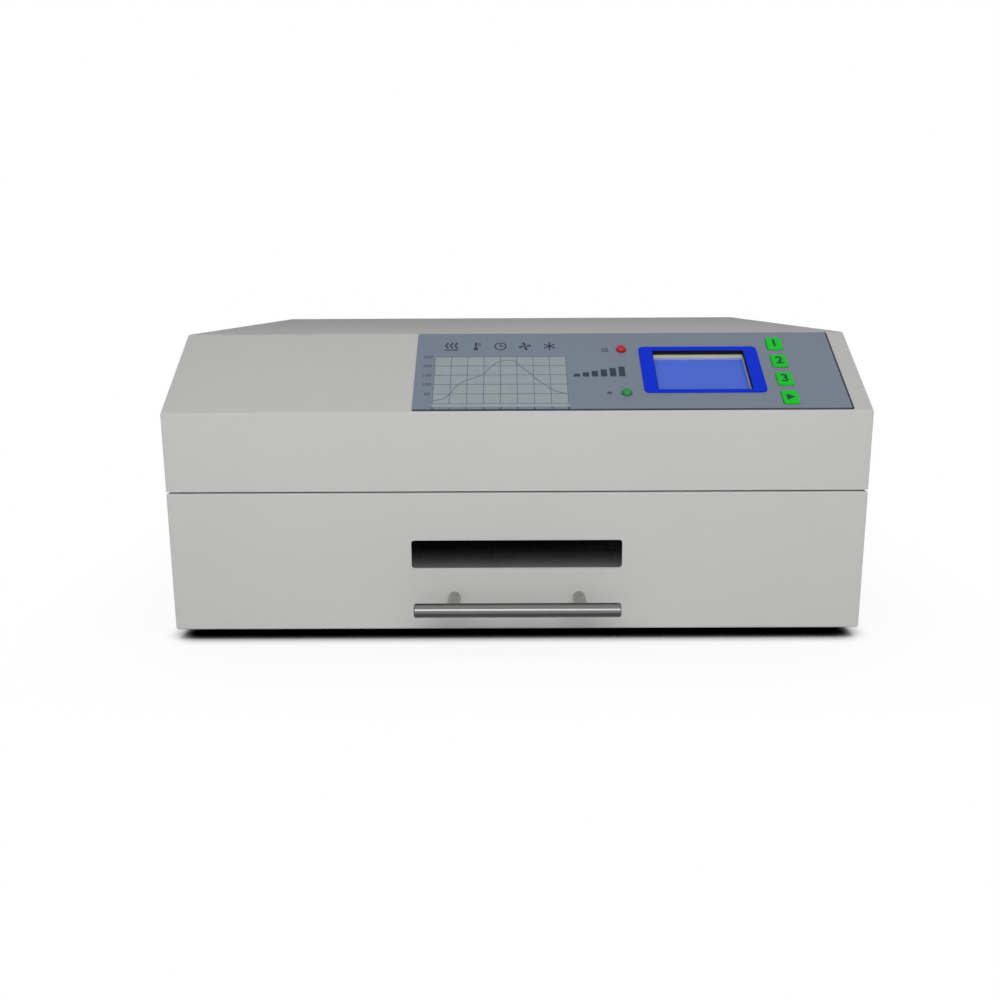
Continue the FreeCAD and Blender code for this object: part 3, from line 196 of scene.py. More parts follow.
class OvenStage(PropertyGroup):
    """Camera, lamps and floor."""

    camera_place: FloatVectorProperty(name="Camera place", description="Where the camera stands", size=3,
                                      unit="LENGTH", subtype="TRANSLATION", precision=4,
                                      default=(-0.0098, -0.9576, 0.2674))
    camera_dip: turn("Camera dip", "How far the camera looks down", 12.08)
    camera_swing: turn("Camera swing", "How far the camera looks to the right", -0.219)
    camera_roll: turn("Camera roll", "How far the camera tips", -0.271)
    camera_lens: FloatProperty(name="Lens", description="Focal length", unit="CAMERA", default=35.795)
    front_power: power("Front lamp", "Broad soft lamp above the camera", 17.7)
    fill_power: power("Fill lamp", "Low broad lamp behind the camera", 4.2)
    side_power: power("Side lamps", "Low soft lamps at both sides", 8.6)
    rear_power: power("Rear lamp", "Low soft lamp behind", 19.0)
    strip_power: power("Strip lamp", "Lamp that draws the line along the handle", 4.6)
    ambient: FloatProperty(name="Ambient", description="Strength of the light from all round", min=0.0,
                           default=0.16)
    floor: tint("Floor", "Pale floor", 240, 240, 240)


class Socket:
    """A shader value; arithmetic on it adds the Math nodes that work it out."""

    def __init__(self, shader, output):
        self.shader = shader
        self.output = output

    def math(self, operation, first, second=0.0):
        return self.shader.node("ShaderNodeMath", {"operation": operation}, {0: first, 1: second})

    def at_least(self, other):
        """The larger of two values."""
        return self.math("MAXIMUM", self, other)

    def sway(self, amount):
        """A noise's swing to both sides of zero."""
        return amount * (self - 0.5)

    def teeth(self, pitch):
        """1 at each multiple of a pitch and 0 half-way between them."""
        return abs(self % pitch - pitch / 2) * (2 / pitch)

    def __add__(self, other):
        return self.math("ADD", self, other)

    def __sub__(self, other):
        return self.math("SUBTRACT", self, other)

    def __rsub__(self, other):
        return self.math("SUBTRACT", other, self)

    def __mul__(self, other):
        return self.math("MULTIPLY", self, other)

    def __pow__(self, other):
        return self.math("POWER", self, other)

    def __gt__(self, other):
        return self.math("GREATER_THAN", self, other)

    def __lt__(self, other):
        return self.math("LESS_THAN", self, other)

    def __mod__(self, other):
        return self.math("FLOORED_MODULO", self, other)

    def __abs__(self):
        return self.math("ABSOLUTE", self)

    __radd__ = __add__
    __rmul__ = __mul__


class Shader:
    """A material's or world's nodes."""

    def __init__(self, owner, surface):
        owner.use_nodes = True
        self.nodes = owner.node_tree.nodes
        self.links = owner.node_tree.links
        self.surface = self.nodes[surface]

    def join(self, socket, value):
        """Links a shader value to a socket, or sets the socket's own value."""
        if isinstance(value, Socket):
            self.links.new(value.output, socket)
        elif socket.type == "RGBA":
            socket.default_value = (*value, 1.0)
        else:
            socket.default_value = value

    def feed(self, values):
        """Sets or links the surface shader's sockets."""
        for name, value in values.items():
            self.join(self.surface.inputs[name], value)

    def node(self, kind, settings=None, inputs=None, output=0):
        """Adds a node, its settings first and then its sockets, and gives one of its outputs."""
        made = self.nodes.new(kind)
        for name, value in (settings or {}).items():
            setattr(made, name, value)
        for name, value in (inputs or {}).items():
            self.join(made.inputs[name], value)
        return Socket(self, made.outputs[output])

    def rays(self, kind):
        """1 for one kind of ray and 0 for the others."""
        return self.node("ShaderNodeLightPath", output=f"Is {kind} Ray")

    def seen(self):
        """1 for rays from the camera, in mirrors and through glass, and 0 for the light itself."""
        return self.rays("Camera").at_least(self.rays("Glossy")).at_least(self.rays("Transmission"))


class Finish(Shader):
    """A procedural material: its surface shader, and the nodes that vary it over a piece."""

    def __init__(self, name):
        self.material = bpy.data.materials.new(name)
        super().__init__(self.material, "Principled BSDF")
        self.points = self.node("ShaderNodeTexCoord", output="Object")

    def cover(self, factor, shader):
        """Lays another shader over the surface."""
        surface = Socket(self, self.surface.outputs[0])
        both = self.node("ShaderNodeMixShader", {}, {0: factor, 1: surface, 2: shader})
        self.join(self.nodes["Material Output"].inputs["Surface"], both)

    def noise(self, scale, detail, points=None):
        return self.node("ShaderNodeTexNoise", {},
                         {"Vector": points or self.points, "Scale": scale, "Detail": detail})

    def strokes(self, stretch, detail):
        """A noise drawn out by its scale along each axis."""
        points = self.node("ShaderNodeMapping", {}, {"Vector": self.points, "Scale": stretch})
        return self.noise(1.0, detail, points)

    def cells(self, scale, output="Distance", feature="F1"):
        return self.node("ShaderNodeTexVoronoi", {"feature": feature},
                         {"Vector": self.points, "Scale": scale}, output)

    def axis(self, index):
        """One coordinate of the piece's points."""
        return self.node("ShaderNodeSeparateXYZ", {}, {0: self.points}, index)

    def along(self, direction):
        """How far the piece's points lie along a direction."""
        return self.node("ShaderNodeVectorMath", {"operation": "DOT_PRODUCT"},
                         {0: self.points, 1: tuple(direction)}, "Value")

    def mix(self, factor, first, second):
        """A colour between two."""
        return self.node("ShaderNodeMix", {"data_type": "RGBA"}, {0: factor, 6: first, 7: second}, 2)

    def shades(self, factor, colour, low, high):
        """A colour between two shades of one."""
        return self.mix(factor, dim(colour, low), dim(colour, high))

    def rise(self, value, low, high):
        """0 below low, 1 above high, and smooth between them."""
        return self.node("ShaderNodeMapRange", {"interpolation_type": "SMOOTHSTEP"},
                         {"Value": value, "From Min": low, "From Max": high})

    def bump(self, height, millimetres, strength):
        return self.node("ShaderNodeBump", {},
                         {"Strength": strength, "Distance": millimetres * MM, "Height": height})


def dim(colour, factor):
    """A colour made darker or lighter."""
    return tuple(min(1.0, level * factor) for level in colour)


def powder_coat(finish, colour):
    """Fine textured paint baked onto sheet."""
    clouds = finish.noise(9.0, 3.0)
    peel = finish.noise(1500.0, 1.0)
    finish.feed({
        "Base Color": finish.shades(clouds, colour, 0.97, 1.03),
        "Roughness": 0.62 + clouds.sway(0.12) + peel.sway(0.1),
        "Specular IOR Level": 0.08,
        "Normal": finish.bump(peel, 0.06, 0.5),
    })


def zinc_sheet(finish, colour):
    """Galvanised sheet with its spangle."""
    grains = finish.node("ShaderNodeSeparateColor", {}, {0: finish.cells(160.0, "Color")})
    haze = finish.noise(30.0, 3.0)
    finish.feed({
        "Base Color": finish.shades(grains, colour, 0.8, 1.15),
        "Metallic": 1.0,
        "Roughness": 0.36 + 0.14 * grains + haze.sway(0.1),
        "Normal": finish.bump(haze, 0.05, 0.3),
    })


def brushed_metal(finish, colour, roughness, stretch, warm=None):
    """Metal drawn or brushed one way; warm is a straw tint that heat leaves in patches."""
    strokes = finish.strokes(stretch, 3.0)
    smudge = finish.noise(22.0, 3.0)
    shade = finish.shades(strokes, colour, 0.86, 1.1)
    if warm:
        shade = finish.mix(finish.rise(smudge, 0.45, 0.75), shade, warm)
    finish.feed({
        "Base Color": shade,
        "Metallic": 1.0,
        "Roughness": roughness + strokes.sway(0.16) + smudge.sway(0.12),
        "Normal": finish.bump(strokes, 0.02, 0.4),
    })


def handle_metal(finish, upper, lower, level):
    """Brushed bar with painted shade: its colour turns darker on its underside, which starts at a level."""
    strokes = finish.strokes((6, 1600, 1600), 3.0)
    smudge = finish.noise(22.0, 3.0)
    # Painted shade: below the level the bar takes the darker underside colour.
    shade = finish.mix(finish.rise(finish.axis(2), level - 1.5 * MM, level + 0.5 * MM), lower, upper)
    finish.feed({
        "Base Color": finish.mix(strokes * 0.2, shade, (0.02, 0.02, 0.02)),
        "Metallic": 1.0,
        "Roughness": 0.18 + strokes.sway(0.12) + smudge.sway(0.1),
        "Normal": finish.bump(strokes, 0.02, 0.3),
    })


def bright_metal(finish, colour, roughness, metallic=1.0):
    """Plated or polished metal with faint clouding."""
    haze = finish.noise(60.0, 3.0)
    finish.feed({
        "Base Color": finish.shades(haze, colour, 0.9, 1.06),
        "Metallic": metallic,
        "Roughness": roughness + haze.sway(0.14),
        "Normal": finish.bump(finish.noise(900.0, 1.0), 0.02, 0.25),
    })


def moulded_plastic(finish, colour, roughness=0.42, gloss=0.4):
    """Moulded plastic with a spark-eroded grain."""
    grain = finish.noise(1800.0, 2.0)
    haze = finish.noise(40.0, 2.0)
    finish.feed({
        "Base Color": finish.shades(haze, colour, 0.88, 1.14),
        "Roughness": roughness + haze.sway(0.12) + grain.sway(0.1),
        "Specular IOR Level": gloss,
        "Normal": finish.bump(grain, 0.04, 0.5),
    })


def rubber(finish, colour):
    """Dull rubber with bloom and grit towards the floor."""
    grain = finish.noise(700.0, 3.0)
    dust = (1 - finish.rise(finish.axis(2), 0.0, 5 * MM)) * finish.noise(260.0, 3.0)
    finish.feed({
        "Base Color": finish.shades(dust, colour, 1.0, 3.0),
        "Roughness": 0.72 + grain.sway(0.2),
        "Specular IOR Level": 0.25,
        "Normal": finish.bump(grain, 0.08, 0.5),
    })


def fibre_board(finish, colour):
    """Pressed ceramic fibre board."""
    fibres = finish.strokes((120, 700, 700), 4.0)
    lumps = finish.noise(90.0, 4.0)
    finish.feed({
        "Base Color": finish.shades(fibres * 0.6 + lumps * 0.4, colour, 0.8, 1.1),
        "Roughness": 0.86 + lumps.sway(0.12),
        "Specular IOR Level": 0.1,
        "Normal": finish.bump(fibres + lumps, 0.25, 0.6),
    })


def quartz(finish, colour):
    """Milky fused quartz."""
    milk = finish.strokes((20, 420, 420), 2.0)
    finish.feed({
        "Base Color": finish.shades(milk, colour, 0.9, 1.05),
        "Roughness": 0.16 + 0.2 * milk,
        "Transmission Weight": 0.75,
        "IOR": 1.45,
    })


def ceramic(finish, colour):
    """Unglazed steatite with fine speckle."""
    specks = finish.rise(finish.noise(900.0, 2.0), 0.62, 0.7)
    wash = finish.noise(60.0, 2.0)
    finish.feed({
        "Base Color": finish.mix(specks * 0.5, finish.shades(wash, colour, 0.94, 1.0), dim(colour, 0.55)),
        "Roughness": 0.5 + wash.sway(0.15),
        "Specular IOR Level": 0.35,
        "Normal": finish.bump(specks, 0.03, 0.3),
    })


def woven_seal(finish, colour):
    """Braided glass fibre seal."""
    strand = 2.4 * MM
    braid = finish.along((1, 1, 1)).teeth(strand) * finish.along((1, -1, -1)).teeth(strand)
    soot = finish.noise(25.0, 3.0)
    stain = finish.rise(soot, 0.5, 0.8) * 0.6
    finish.feed({
        "Base Color": finish.mix(stain, finish.shades(braid, colour, 0.6, 1.0), dim(colour, 0.3)),
        "Roughness": 0.8 + soot.sway(0.1),
        "Specular IOR Level": 0.15,
        "Normal": finish.bump(braid, 0.3, 0.7),
    })


def foam(finish, colour):
    """Closed-cell foam strip."""
    pores = finish.cells(1600.0)
    finish.feed({
        "Base Color": finish.shades(pores, colour, 0.6, 1.5),
        "Roughness": 0.85 + pores.sway(0.1),
        "Specular IOR Level": 0.15,
        "Normal": finish.bump(pores, 0.1, 0.6),
    })


def panel_film(finish, colour, painted_shade_colour, place, painted_edge_shadow):
    """Matt printed film with painted shade: dark at its cut edge and in a band along its lower and right
    edges, in place of the shadow at the film's edges.
    """
    across, upward, outward = [place.col[index].to_3d() for index in range(3)]
    face = outward.dot(place.translation)
    low, high = span(local_points("panel_overlay", place))
    right = across.dot(place.translation) + high.x - painted_edge_shadow
    foot = upward.dot(place.translation) + low.y + painted_edge_shadow
    # Painted shade: outside this mask, on the cut edge and in the band along the lower and right edges, the
    # film takes the dark colour.
    inside = (finish.along(across) < right) * (finish.along(upward) > foot)
    printed_face = finish.rise(finish.along(outward), face - 0.2 * MM, face - 0.05 * MM) * inside
    grain = finish.noise(2600.0, 2.0)
    wash = finish.noise(14.0, 2.0)
    finish.feed({
        "Base Color": finish.mix(printed_face, painted_shade_colour, finish.shades(wash, colour, 0.96, 1.04)),
        "Roughness": 0.42 + wash.sway(0.1) + grain.sway(0.08),
        "Specular IOR Level": 0.3,
        "Normal": finish.bump(grain, 0.02, 0.4),
    })


def printed(finish, colour, roughness=0.5, gloss=0.2):
    """Screen-printed ink with a faint mesh in it."""
    mesh = finish.noise(2200.0, 2.0)
    finish.feed({
        "Base Color": finish.shades(finish.noise(120.0, 2.0), colour, 0.93, 1.07),
        "Roughness": roughness + mesh.sway(0.12),
        "Specular IOR Level": gloss,
        "Normal": finish.bump(mesh, 0.01, 0.3),
    })


def lit_screen(finish, colour, place):
    """A lit liquid crystal screen with its fine dots."""
    pitch, dot_edge = 0.5 * MM, 0.84
    across = finish.axis(0).teeth(pitch) > dot_edge
    upward = finish.along(place.col[1].to_3d()).teeth(pitch) > dot_edge
    glow = finish.noise(18.0, 1.0)
    gaps = across.at_least(upward) * 0.35
    dots = finish.mix(gaps, finish.shades(glow, colour, 0.95, 1.05), dim(colour, 0.6))
    finish.feed({
        "Base Color": dots,
        "Roughness": 0.22 + 0.1 * glow,
        "Specular IOR Level": 0.15,
        "Emission Color": dots,
        "Emission Strength": 0.2,
    })


def lamp_lenses(finish, upper, lower, split):
    """Diffused lamp lenses, one colour above a height and the other below it."""
    above = finish.rise(finish.axis(2), split - MM, split + MM)
    swirl = finish.noise(500.0, 2.0)
    shade = finish.mix(swirl * 0.3, finish.mix(above, lower, upper), (0.02, 0.02, 0.02))
    finish.feed({
        "Base Color": shade,
        "Roughness": 0.2 + 0.1 * swirl,
        "Specular IOR Level": 0.25,
        "Coat Weight": 0.08 + 0.1 * swirl,
        "Coat Roughness": 0.2,
        "Emission Color": shade,
        "Emission Strength": 0.12,
    })


def circuit_boards(finish, colour, board):
    """Green boards with copper runs, and the terminals and capacitors that stand on the power board."""
    low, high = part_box(board)
    laminate = 1.8 * MM
    copper = 1 - finish.rise(finish.cells(190.0, "Distance", "DISTANCE_TO_EDGE"), 0.05, 0.09)
    on_board = (finish.axis(2) < high.z + MM) * (finish.axis(2) > low.z + laminate)
    back = finish.axis(1) > (low.y + high.y) / 2
    terminal_green, capacitor_blue = (0.05, 0.16, 0.06), (0.03, 0.035, 0.06)
    parts = finish.mix(back, terminal_green, capacitor_blue)
    finish.feed({
        "Base Color": finish.mix(on_board, finish.shades(copper, colour, 1.0, 2.2), parts),
        "Roughness": 0.32 + 0.2 * finish.noise(200.0, 2.0),
        "Specular IOR Level": 0.5,
        "Normal": finish.bump(copper, 0.03, 0.4),
    })


def transformer_core(finish, colour, node):
    """Stacked iron laminations between taped windings."""
    low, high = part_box(node)
    half_stack, joint = 17.0 * MM, 0.1 * MM
    off_middle = abs(finish.axis(1) - (low.y + high.y) / 2)
    winding = finish.rise(off_middle, half_stack - joint, half_stack + joint)
    layers = finish.axis(1).teeth(MM)
    tape = finish.strokes((40, 40, 900), 2.0)
    amber, pale_amber = (0.55, 0.36, 0.05), (0.72, 0.5, 0.1)
    finish.feed({
        "Base Color": finish.mix(winding, finish.shades(layers, colour, 0.5, 1.2),
                                 finish.mix(tape, amber, pale_amber)),
        "Metallic": 0.7 * (1 - winding),
        "Roughness": 0.45 + tape.sway(0.15),
        "Normal": finish.bump(layers * (1 - winding) + tape * winding, 0.15, 0.6),
    })


def sink_metal(finish, colour, split):
    """Extruded fins and the relays' metal plates, above two dark relay covers."""
    fins = finish.rise(finish.axis(2), split - 0.1 * MM, split)
    lines = finish.strokes((1600, 8, 1600), 3.0)
    cover_black = (0.02, 0.02, 0.022)
    finish.feed({
        "Base Color": finish.mix(fins, cover_black, finish.shades(lines, colour, 0.85, 1.1)),
        "Metallic": fins,
        "Roughness": 0.36 + lines.sway(0.2),
        "Normal": finish.bump(lines, 0.02, 0.4),
    })


def smoked_pane(finish, colour, node):
    """Smoked heat-proof glass with painted light: a pale layer that thickens towards its lower edge makes
    the window lighter there.
    """
    low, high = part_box(node)
    film = finish.noise(14.0, 4.0)
    finish.feed({
        "Base Color": finish.shades(film, colour, 0.9, 1.0),
        "Roughness": 0.02 + 0.05 * film,
        "Transmission Weight": 1.0,
        "IOR": 1.07,
        "Specular IOR Level": 0.1,
    })
    # Painted light: a pale diffuse layer, thicker towards the lower edge, lightens the window's lower part.
    depth = (high.z - finish.axis(2)) * (1 / (high.z - low.z))
    painted_light_layer = finish.node("ShaderNodeBsdfDiffuse", {}, {"Color": (0.5, 0.5, 0.49)})
    finish.cover(depth ** 5 * (0.31 + 0.34 * film), painted_light_layer)


def finished(kind, name, colour, *details):
    """A material with one kind of finish."""
    finish = Finish(name)
    kind(finish, colour, *details)
    return finish.material


def dress(slot, kind, *details, colour=None, name=None, only=None):
    """Gives a slot's solids, or only one of them, a finish in the record's colour or another."""
    material = finished(kind, name or slot, colour or BASE_COLOURS[slot], *details)
    for part in frame["record"]["subparts"]:
        if part["material_slot"] == slot and only in (None, part["node"]):
            solid = frame["nodes"][part["node"]]
            solid.data.materials.clear()
            solid.data.materials.append(material)


def axes_place(across, outward, origin):
    """A place with x across, z outward and y up between them."""
    place = Matrix((across, outward.cross(across), outward)).transposed().to_4x4()
    place.translation = origin
    return place


def panel_place():
    """The panel film's axes, from the middle of its face: x along it, y up the slope and z outward."""
    press = next(joint for joint in frame["joints"] if joint["name"] == "key_1_press")
    outward = -Vector(press["axis"]).normalized()
    low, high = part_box("panel_overlay")
    middle = (low + high) / 2
    face = max(outward.dot(vertex.co) for vertex in frame["nodes"]["panel_overlay"].data.vertices)
    return axes_place(Vector((1, 0, 0)), outward, middle + outward * (face - outward.dot(middle)))


def local_points(node, place):
    """A solid's points in a place's axes."""
    inverse = place.inverted()
    return [inverse @ vertex.co for vertex in frame["nodes"][node].data.vertices]


def span(points):
    """Lowest and highest corner of a box round points."""
    return [Vector([pick(point[axis] for point in points) for axis in range(3)]) for pick in (min, max)]


def new_piece(name, shape, material, body, place=None):
    """Makes a bmesh a piece that rides on a body."""
    if place:
        bmesh.ops.transform(shape, matrix=place, verts=shape.verts)
    bmesh.ops.remove_doubles(shape, verts=shape.verts, dist=0.001 * MM)
    bmesh.ops.recalc_face_normals(shape, faces=shape.faces)
    mesh = bpy.data.meshes.new(name)
    shape.to_mesh(mesh)
    shape.free()
    mesh.materials.append(material)
    piece = bpy.data.objects.new(name, mesh)
    bpy.context.scene.collection.objects.link(piece)
    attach(piece, body)
    return piece


def round_edges(shape, edges, radius):
    """Rounds edges of a bmesh."""
    bmesh.ops.bevel(shape, geom=edges, offset=radius, offset_type="OFFSET", affect="EDGES", segments=4,
                    profile=0.5, material=-1)


def thicken(shape, faces, layer):
    """Gives flat faces at height 0 the thickness of a layer, from its lower to its upper height."""
    raised = bmesh.ops.extrude_face_region(shape, geom=faces)["geom"]
    tops = [item for item in raised if isinstance(item, bmesh.types.BMVert)]
    base = {vertex for face in faces for vertex in face.verts} - set(tops)
    bmesh.ops.translate(shape, vec=(0, 0, layer[1]), verts=tops)
    bmesh.ops.translate(shape, vec=(0, 0, layer[0]), verts=list(base))


def add_bar(shape, across, upward, layer):
    """Adds a flat bar of print between spans across, up and out of the panel."""
    spans = (across, upward, layer)
    middle = Vector([(low + high) / 2 for low, high in spans])
    size = Matrix.Diagonal([high - low for low, high in spans]).to_4x4()
    bmesh.ops.create_cube(shape, size=1.0, matrix=Matrix.Translation(middle) @ size)


def add_disc(shape, centre, radius, layer, segments=24, lean=0.0):
    """Adds a flat disc of print, or a shape of few sides."""
    place = Matrix.Translation((*centre, 0.0)) @ Matrix.Rotation(lean, 4, "Z")
    made = bmesh.ops.create_circle(shape, cap_ends=True, radius=radius, segments=segments, matrix=place)
    thicken(shape, list({face for vertex in made["verts"] for face in vertex.link_faces}), layer)


def add_ribbon(shape, points, width, layer):
    """Adds a flat line of print through points."""
    ends = [Vector(point) for point in points]
    rungs = []
    for index, point in enumerate(ends):
        run = (ends[min(index + 1, len(ends) - 1)] - ends[max(index - 1, 0)]).normalized()
        side = Vector((-run.y, run.x)) * width / 2
        rungs.append((point - side, point + side))
    edge = shape.edges.new([shape.verts.new((*corner, 0.0)) for corner in rungs[0]])
    faces = []
    for rung in rungs[1:]:
        made = bmesh.ops.extrude_edge_only(shape, edges=[edge])["geom"]
        edge = next(item for item in made if isinstance(item, bmesh.types.BMEdge))
        faces += [item for item in made if isinstance(item, bmesh.types.BMFace)]
        for vertex, corner in zip(edge.verts, rung):
            vertex.co = (*corner, 0.0)
    thicken(shape, faces, layer)


def add_words(shape, words, height, layer, centre, align="CENTER", weight=0.0):
    """Adds numerals of a height, centred on a point or ending at it."""
    curve = bpy.data.curves.new("numeral", "FONT")
    curve.body = words
    curve.align_x = align
    curve.align_y = "CENTER"
    curve.size = height * FONT_SIZE_PER_HEIGHT
    curve.offset = weight
    curve.extrude = (layer[1] - layer[0]) / 2
    carrier = bpy.data.objects.new("numeral", curve)
    mesh = bpy.data.meshes.new_from_object(carrier)
    mesh.transform(Matrix.Translation((*centre, (layer[0] + layer[1]) / 2)))
    shape.from_mesh(mesh)
    bpy.data.objects.remove(carrier)
    bpy.data.curves.remove(curve)
    bpy.data.meshes.remove(mesh)


def wave_line(x, steps=24):
    """Points of a standing line of one and a half waves."""
    return [(x + 0.09 * math.sin(3 * math.pi * step / steps), 0.12 + 0.76 * (step / steps - 0.5))
            for step in range(steps + 1)]


def turned(points, degrees):
    """Points turned about a sign's middle."""
    return [Matrix.Rotation(math.radians(degrees), 2) @ Vector(point) for point in points]


def ring_line(radius, steps=32):
    """Points of a round line."""
    return [turned([(radius, 0)], 360 * step / steps)[0] for step in range(steps + 1)]


# Each sign's lines and their widths, in its heights from its middle. A line of one point is a dot.
HEAT_SIGN = [(wave_line(x), 0.13) for x in (-0.36, 0, 0.36)] + [([(-0.55, -0.45), (0.55, -0.45)], 0.12)]
TEMPERATURE_SIGN = [([(0, -0.32)], 0.38), ([(0, -0.25), (0, 0.5)], 0.16)] + [
    ([(0.16, level), (0.4, level)], 0.07) for level in (0.08, 0.25, 0.42)]
CLOCK_SIGN = [(ring_line(0.44), 0.11), ([(0, -0.05), (0, 0.3)], 0.1), ([(0, 0), (0.22, 0)], 0.1)]
FAN_SIGN = [([(0, 0)], 0.18)] + [
    (turned([(0.13, 0), (0.3, 0.06), (0.46, 0.18)], lean), 0.2) for lean in (0, 90, 180, 270)]
COLD_SIGN = [(turned([(-0.5, 0), (0.5, 0)], lean), 0.12) for lean in (90, 150, 210)]
ON_MARK = [([(0, -0.5), (0, 0.5)], 0.22)]
OFF_MARK = [(ring_line(0.4), 0.18)]


def add_sign(shape, sign, centre, height, layer):
    """Adds a sign's lines and dots."""
    for points, width in sign:
        spots = [Vector(centre) + height * Vector(point) for point in points]
        if len(spots) == 1:
            add_disc(shape, spots[0], width * height / 2, layer)
        else:
            add_ribbon(shape, spots, width * height, layer)


class OVEN_OT_finish_casing(Operator):
    """Paint, zinc, screws and feet of the casing"""

    bl_idname = "oven.finish_casing"
    bl_label = "Casing finishes"

    def execute(self, context):
        colours = context.scene.oven_colours
        dress("casing_paint", powder_coat, colour=colours.casing)
        dress("zinc_sheet", zinc_sheet)
        dress("fastener", bright_metal, 0.3)
        dress("foot_rubber", rubber, colour=colours.rubber)
        return {"FINISHED"}


class OVEN_OT_finish_chamber(Operator):
    """Steel, reflector, fibre, quartz and ceramic of the chamber"""

    bl_idname = "oven.finish_chamber"
    bl_label = "Chamber finishes"

    def execute(self, context):
        straw = (0.52, 0.43, 0.3)
        across, upward = (5, 1400, 1400), (900, 900, 20)
        dress("chamber_steel", brushed_metal, 0.34, across, straw)
        dress("reflector_sheet", bright_metal, 0.14)
        dress("fibre_board", fibre_board)
        dress("quartz", quartz)
        dress("ceramic", ceramic)
        dress("probe_steel", brushed_metal, 0.3, upward, straw)
        dress("motor_steel", bright_metal, 0.36)
        dress("impeller_steel", brushed_metal, 0.36, across)
        return {"FINISHED"}


class OVEN_OT_finish_rear(Operator):
    """Plastic, wire and pins of the rear"""

    bl_idname = "oven.finish_rear"
    bl_label = "Rear finishes"

    def execute(self, context):
        colours = context.scene.oven_colours
        dress("black_plastic", moulded_plastic, colour=colours.plastic)
        dress("guard_wire", bright_metal, 0.2)
        dress("pin_metal", bright_metal, 0.22)
        dress("rocker_red", moulded_plastic, 0.3, colour=colours.rocker)
        return {"FINISHED"}


class OVEN_OT_finish_electronics(Operator):
    """Boards, transformer, heat sink and posts"""

    bl_idname = "oven.finish_electronics"
    bl_label = "Electronics finishes"

    def execute(self, context):
        relay_cover = 20 * MM
        dress("brass_post", bright_metal, 0.25)
        dress("circuit_board", circuit_boards, "power_board")
        dress("transformer_iron", transformer_core, "transformer")
        dress("heat_sink_metal", sink_metal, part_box("heat_sink")[0].z + relay_cover)
        return {"FINISHED"}


class OVEN_OT_finish_panel(Operator):
    """Film, bezel, screen, keys and lamps of the control panel"""

    bl_idname = "oven.finish_panel"
    bl_label = "Panel finishes"

    def execute(self, context):
        colours, panel = context.scene.oven_colours, context.scene.oven_panel
        place = panel_place()
        low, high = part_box("status_leds")
        dress("overlay_film", panel_film, colours.film_edge, place, panel.border_width, colour=colours.film)
        dress("bezel_blue", printed, 0.45, 0.08, colour=colours.bezel)
        dress("display_tin", bright_metal, 0.45, 0.3, colour=colours.display_tin)
        dress("display_blue", lit_screen, place, colour=colours.screen)
        dress("key_green", moulded_plastic, 0.4, 0.15, colour=colours.key)
        dress("lamp_lens", lamp_lenses, colours.cool_lamp, (low.z + high.z) / 2, colour=colours.heat_lamp)
        return {"FINISHED"}


class OVEN_OT_finish_drawer(Operator):
    """Glass, handle, rack and slides of the drawer"""

    bl_idname = "oven.finish_drawer"
    bl_label = "Drawer finishes"

    def execute(self, context):
        colours = context.scene.oven_colours
        low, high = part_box("handle_bar")
        level, lengthwise = (low.z + high.z) / 2, (700, 8, 700)
        dress("window_pane", smoked_pane, "window_glass", colour=colours.pane)
        dress("handle_steel", handle_metal, colours.handle_under, level, colour=colours.handle,
              only="handle_bar")
        dress("handle_steel", brushed_metal, 0.24, lengthwise, colour=colours.post, name="post_steel",
              only="handle_posts")
        dress("rack_wire", bright_metal, 0.24)
        dress("slide_steel", bright_metal, 0.3)
        return {"FINISHED"}


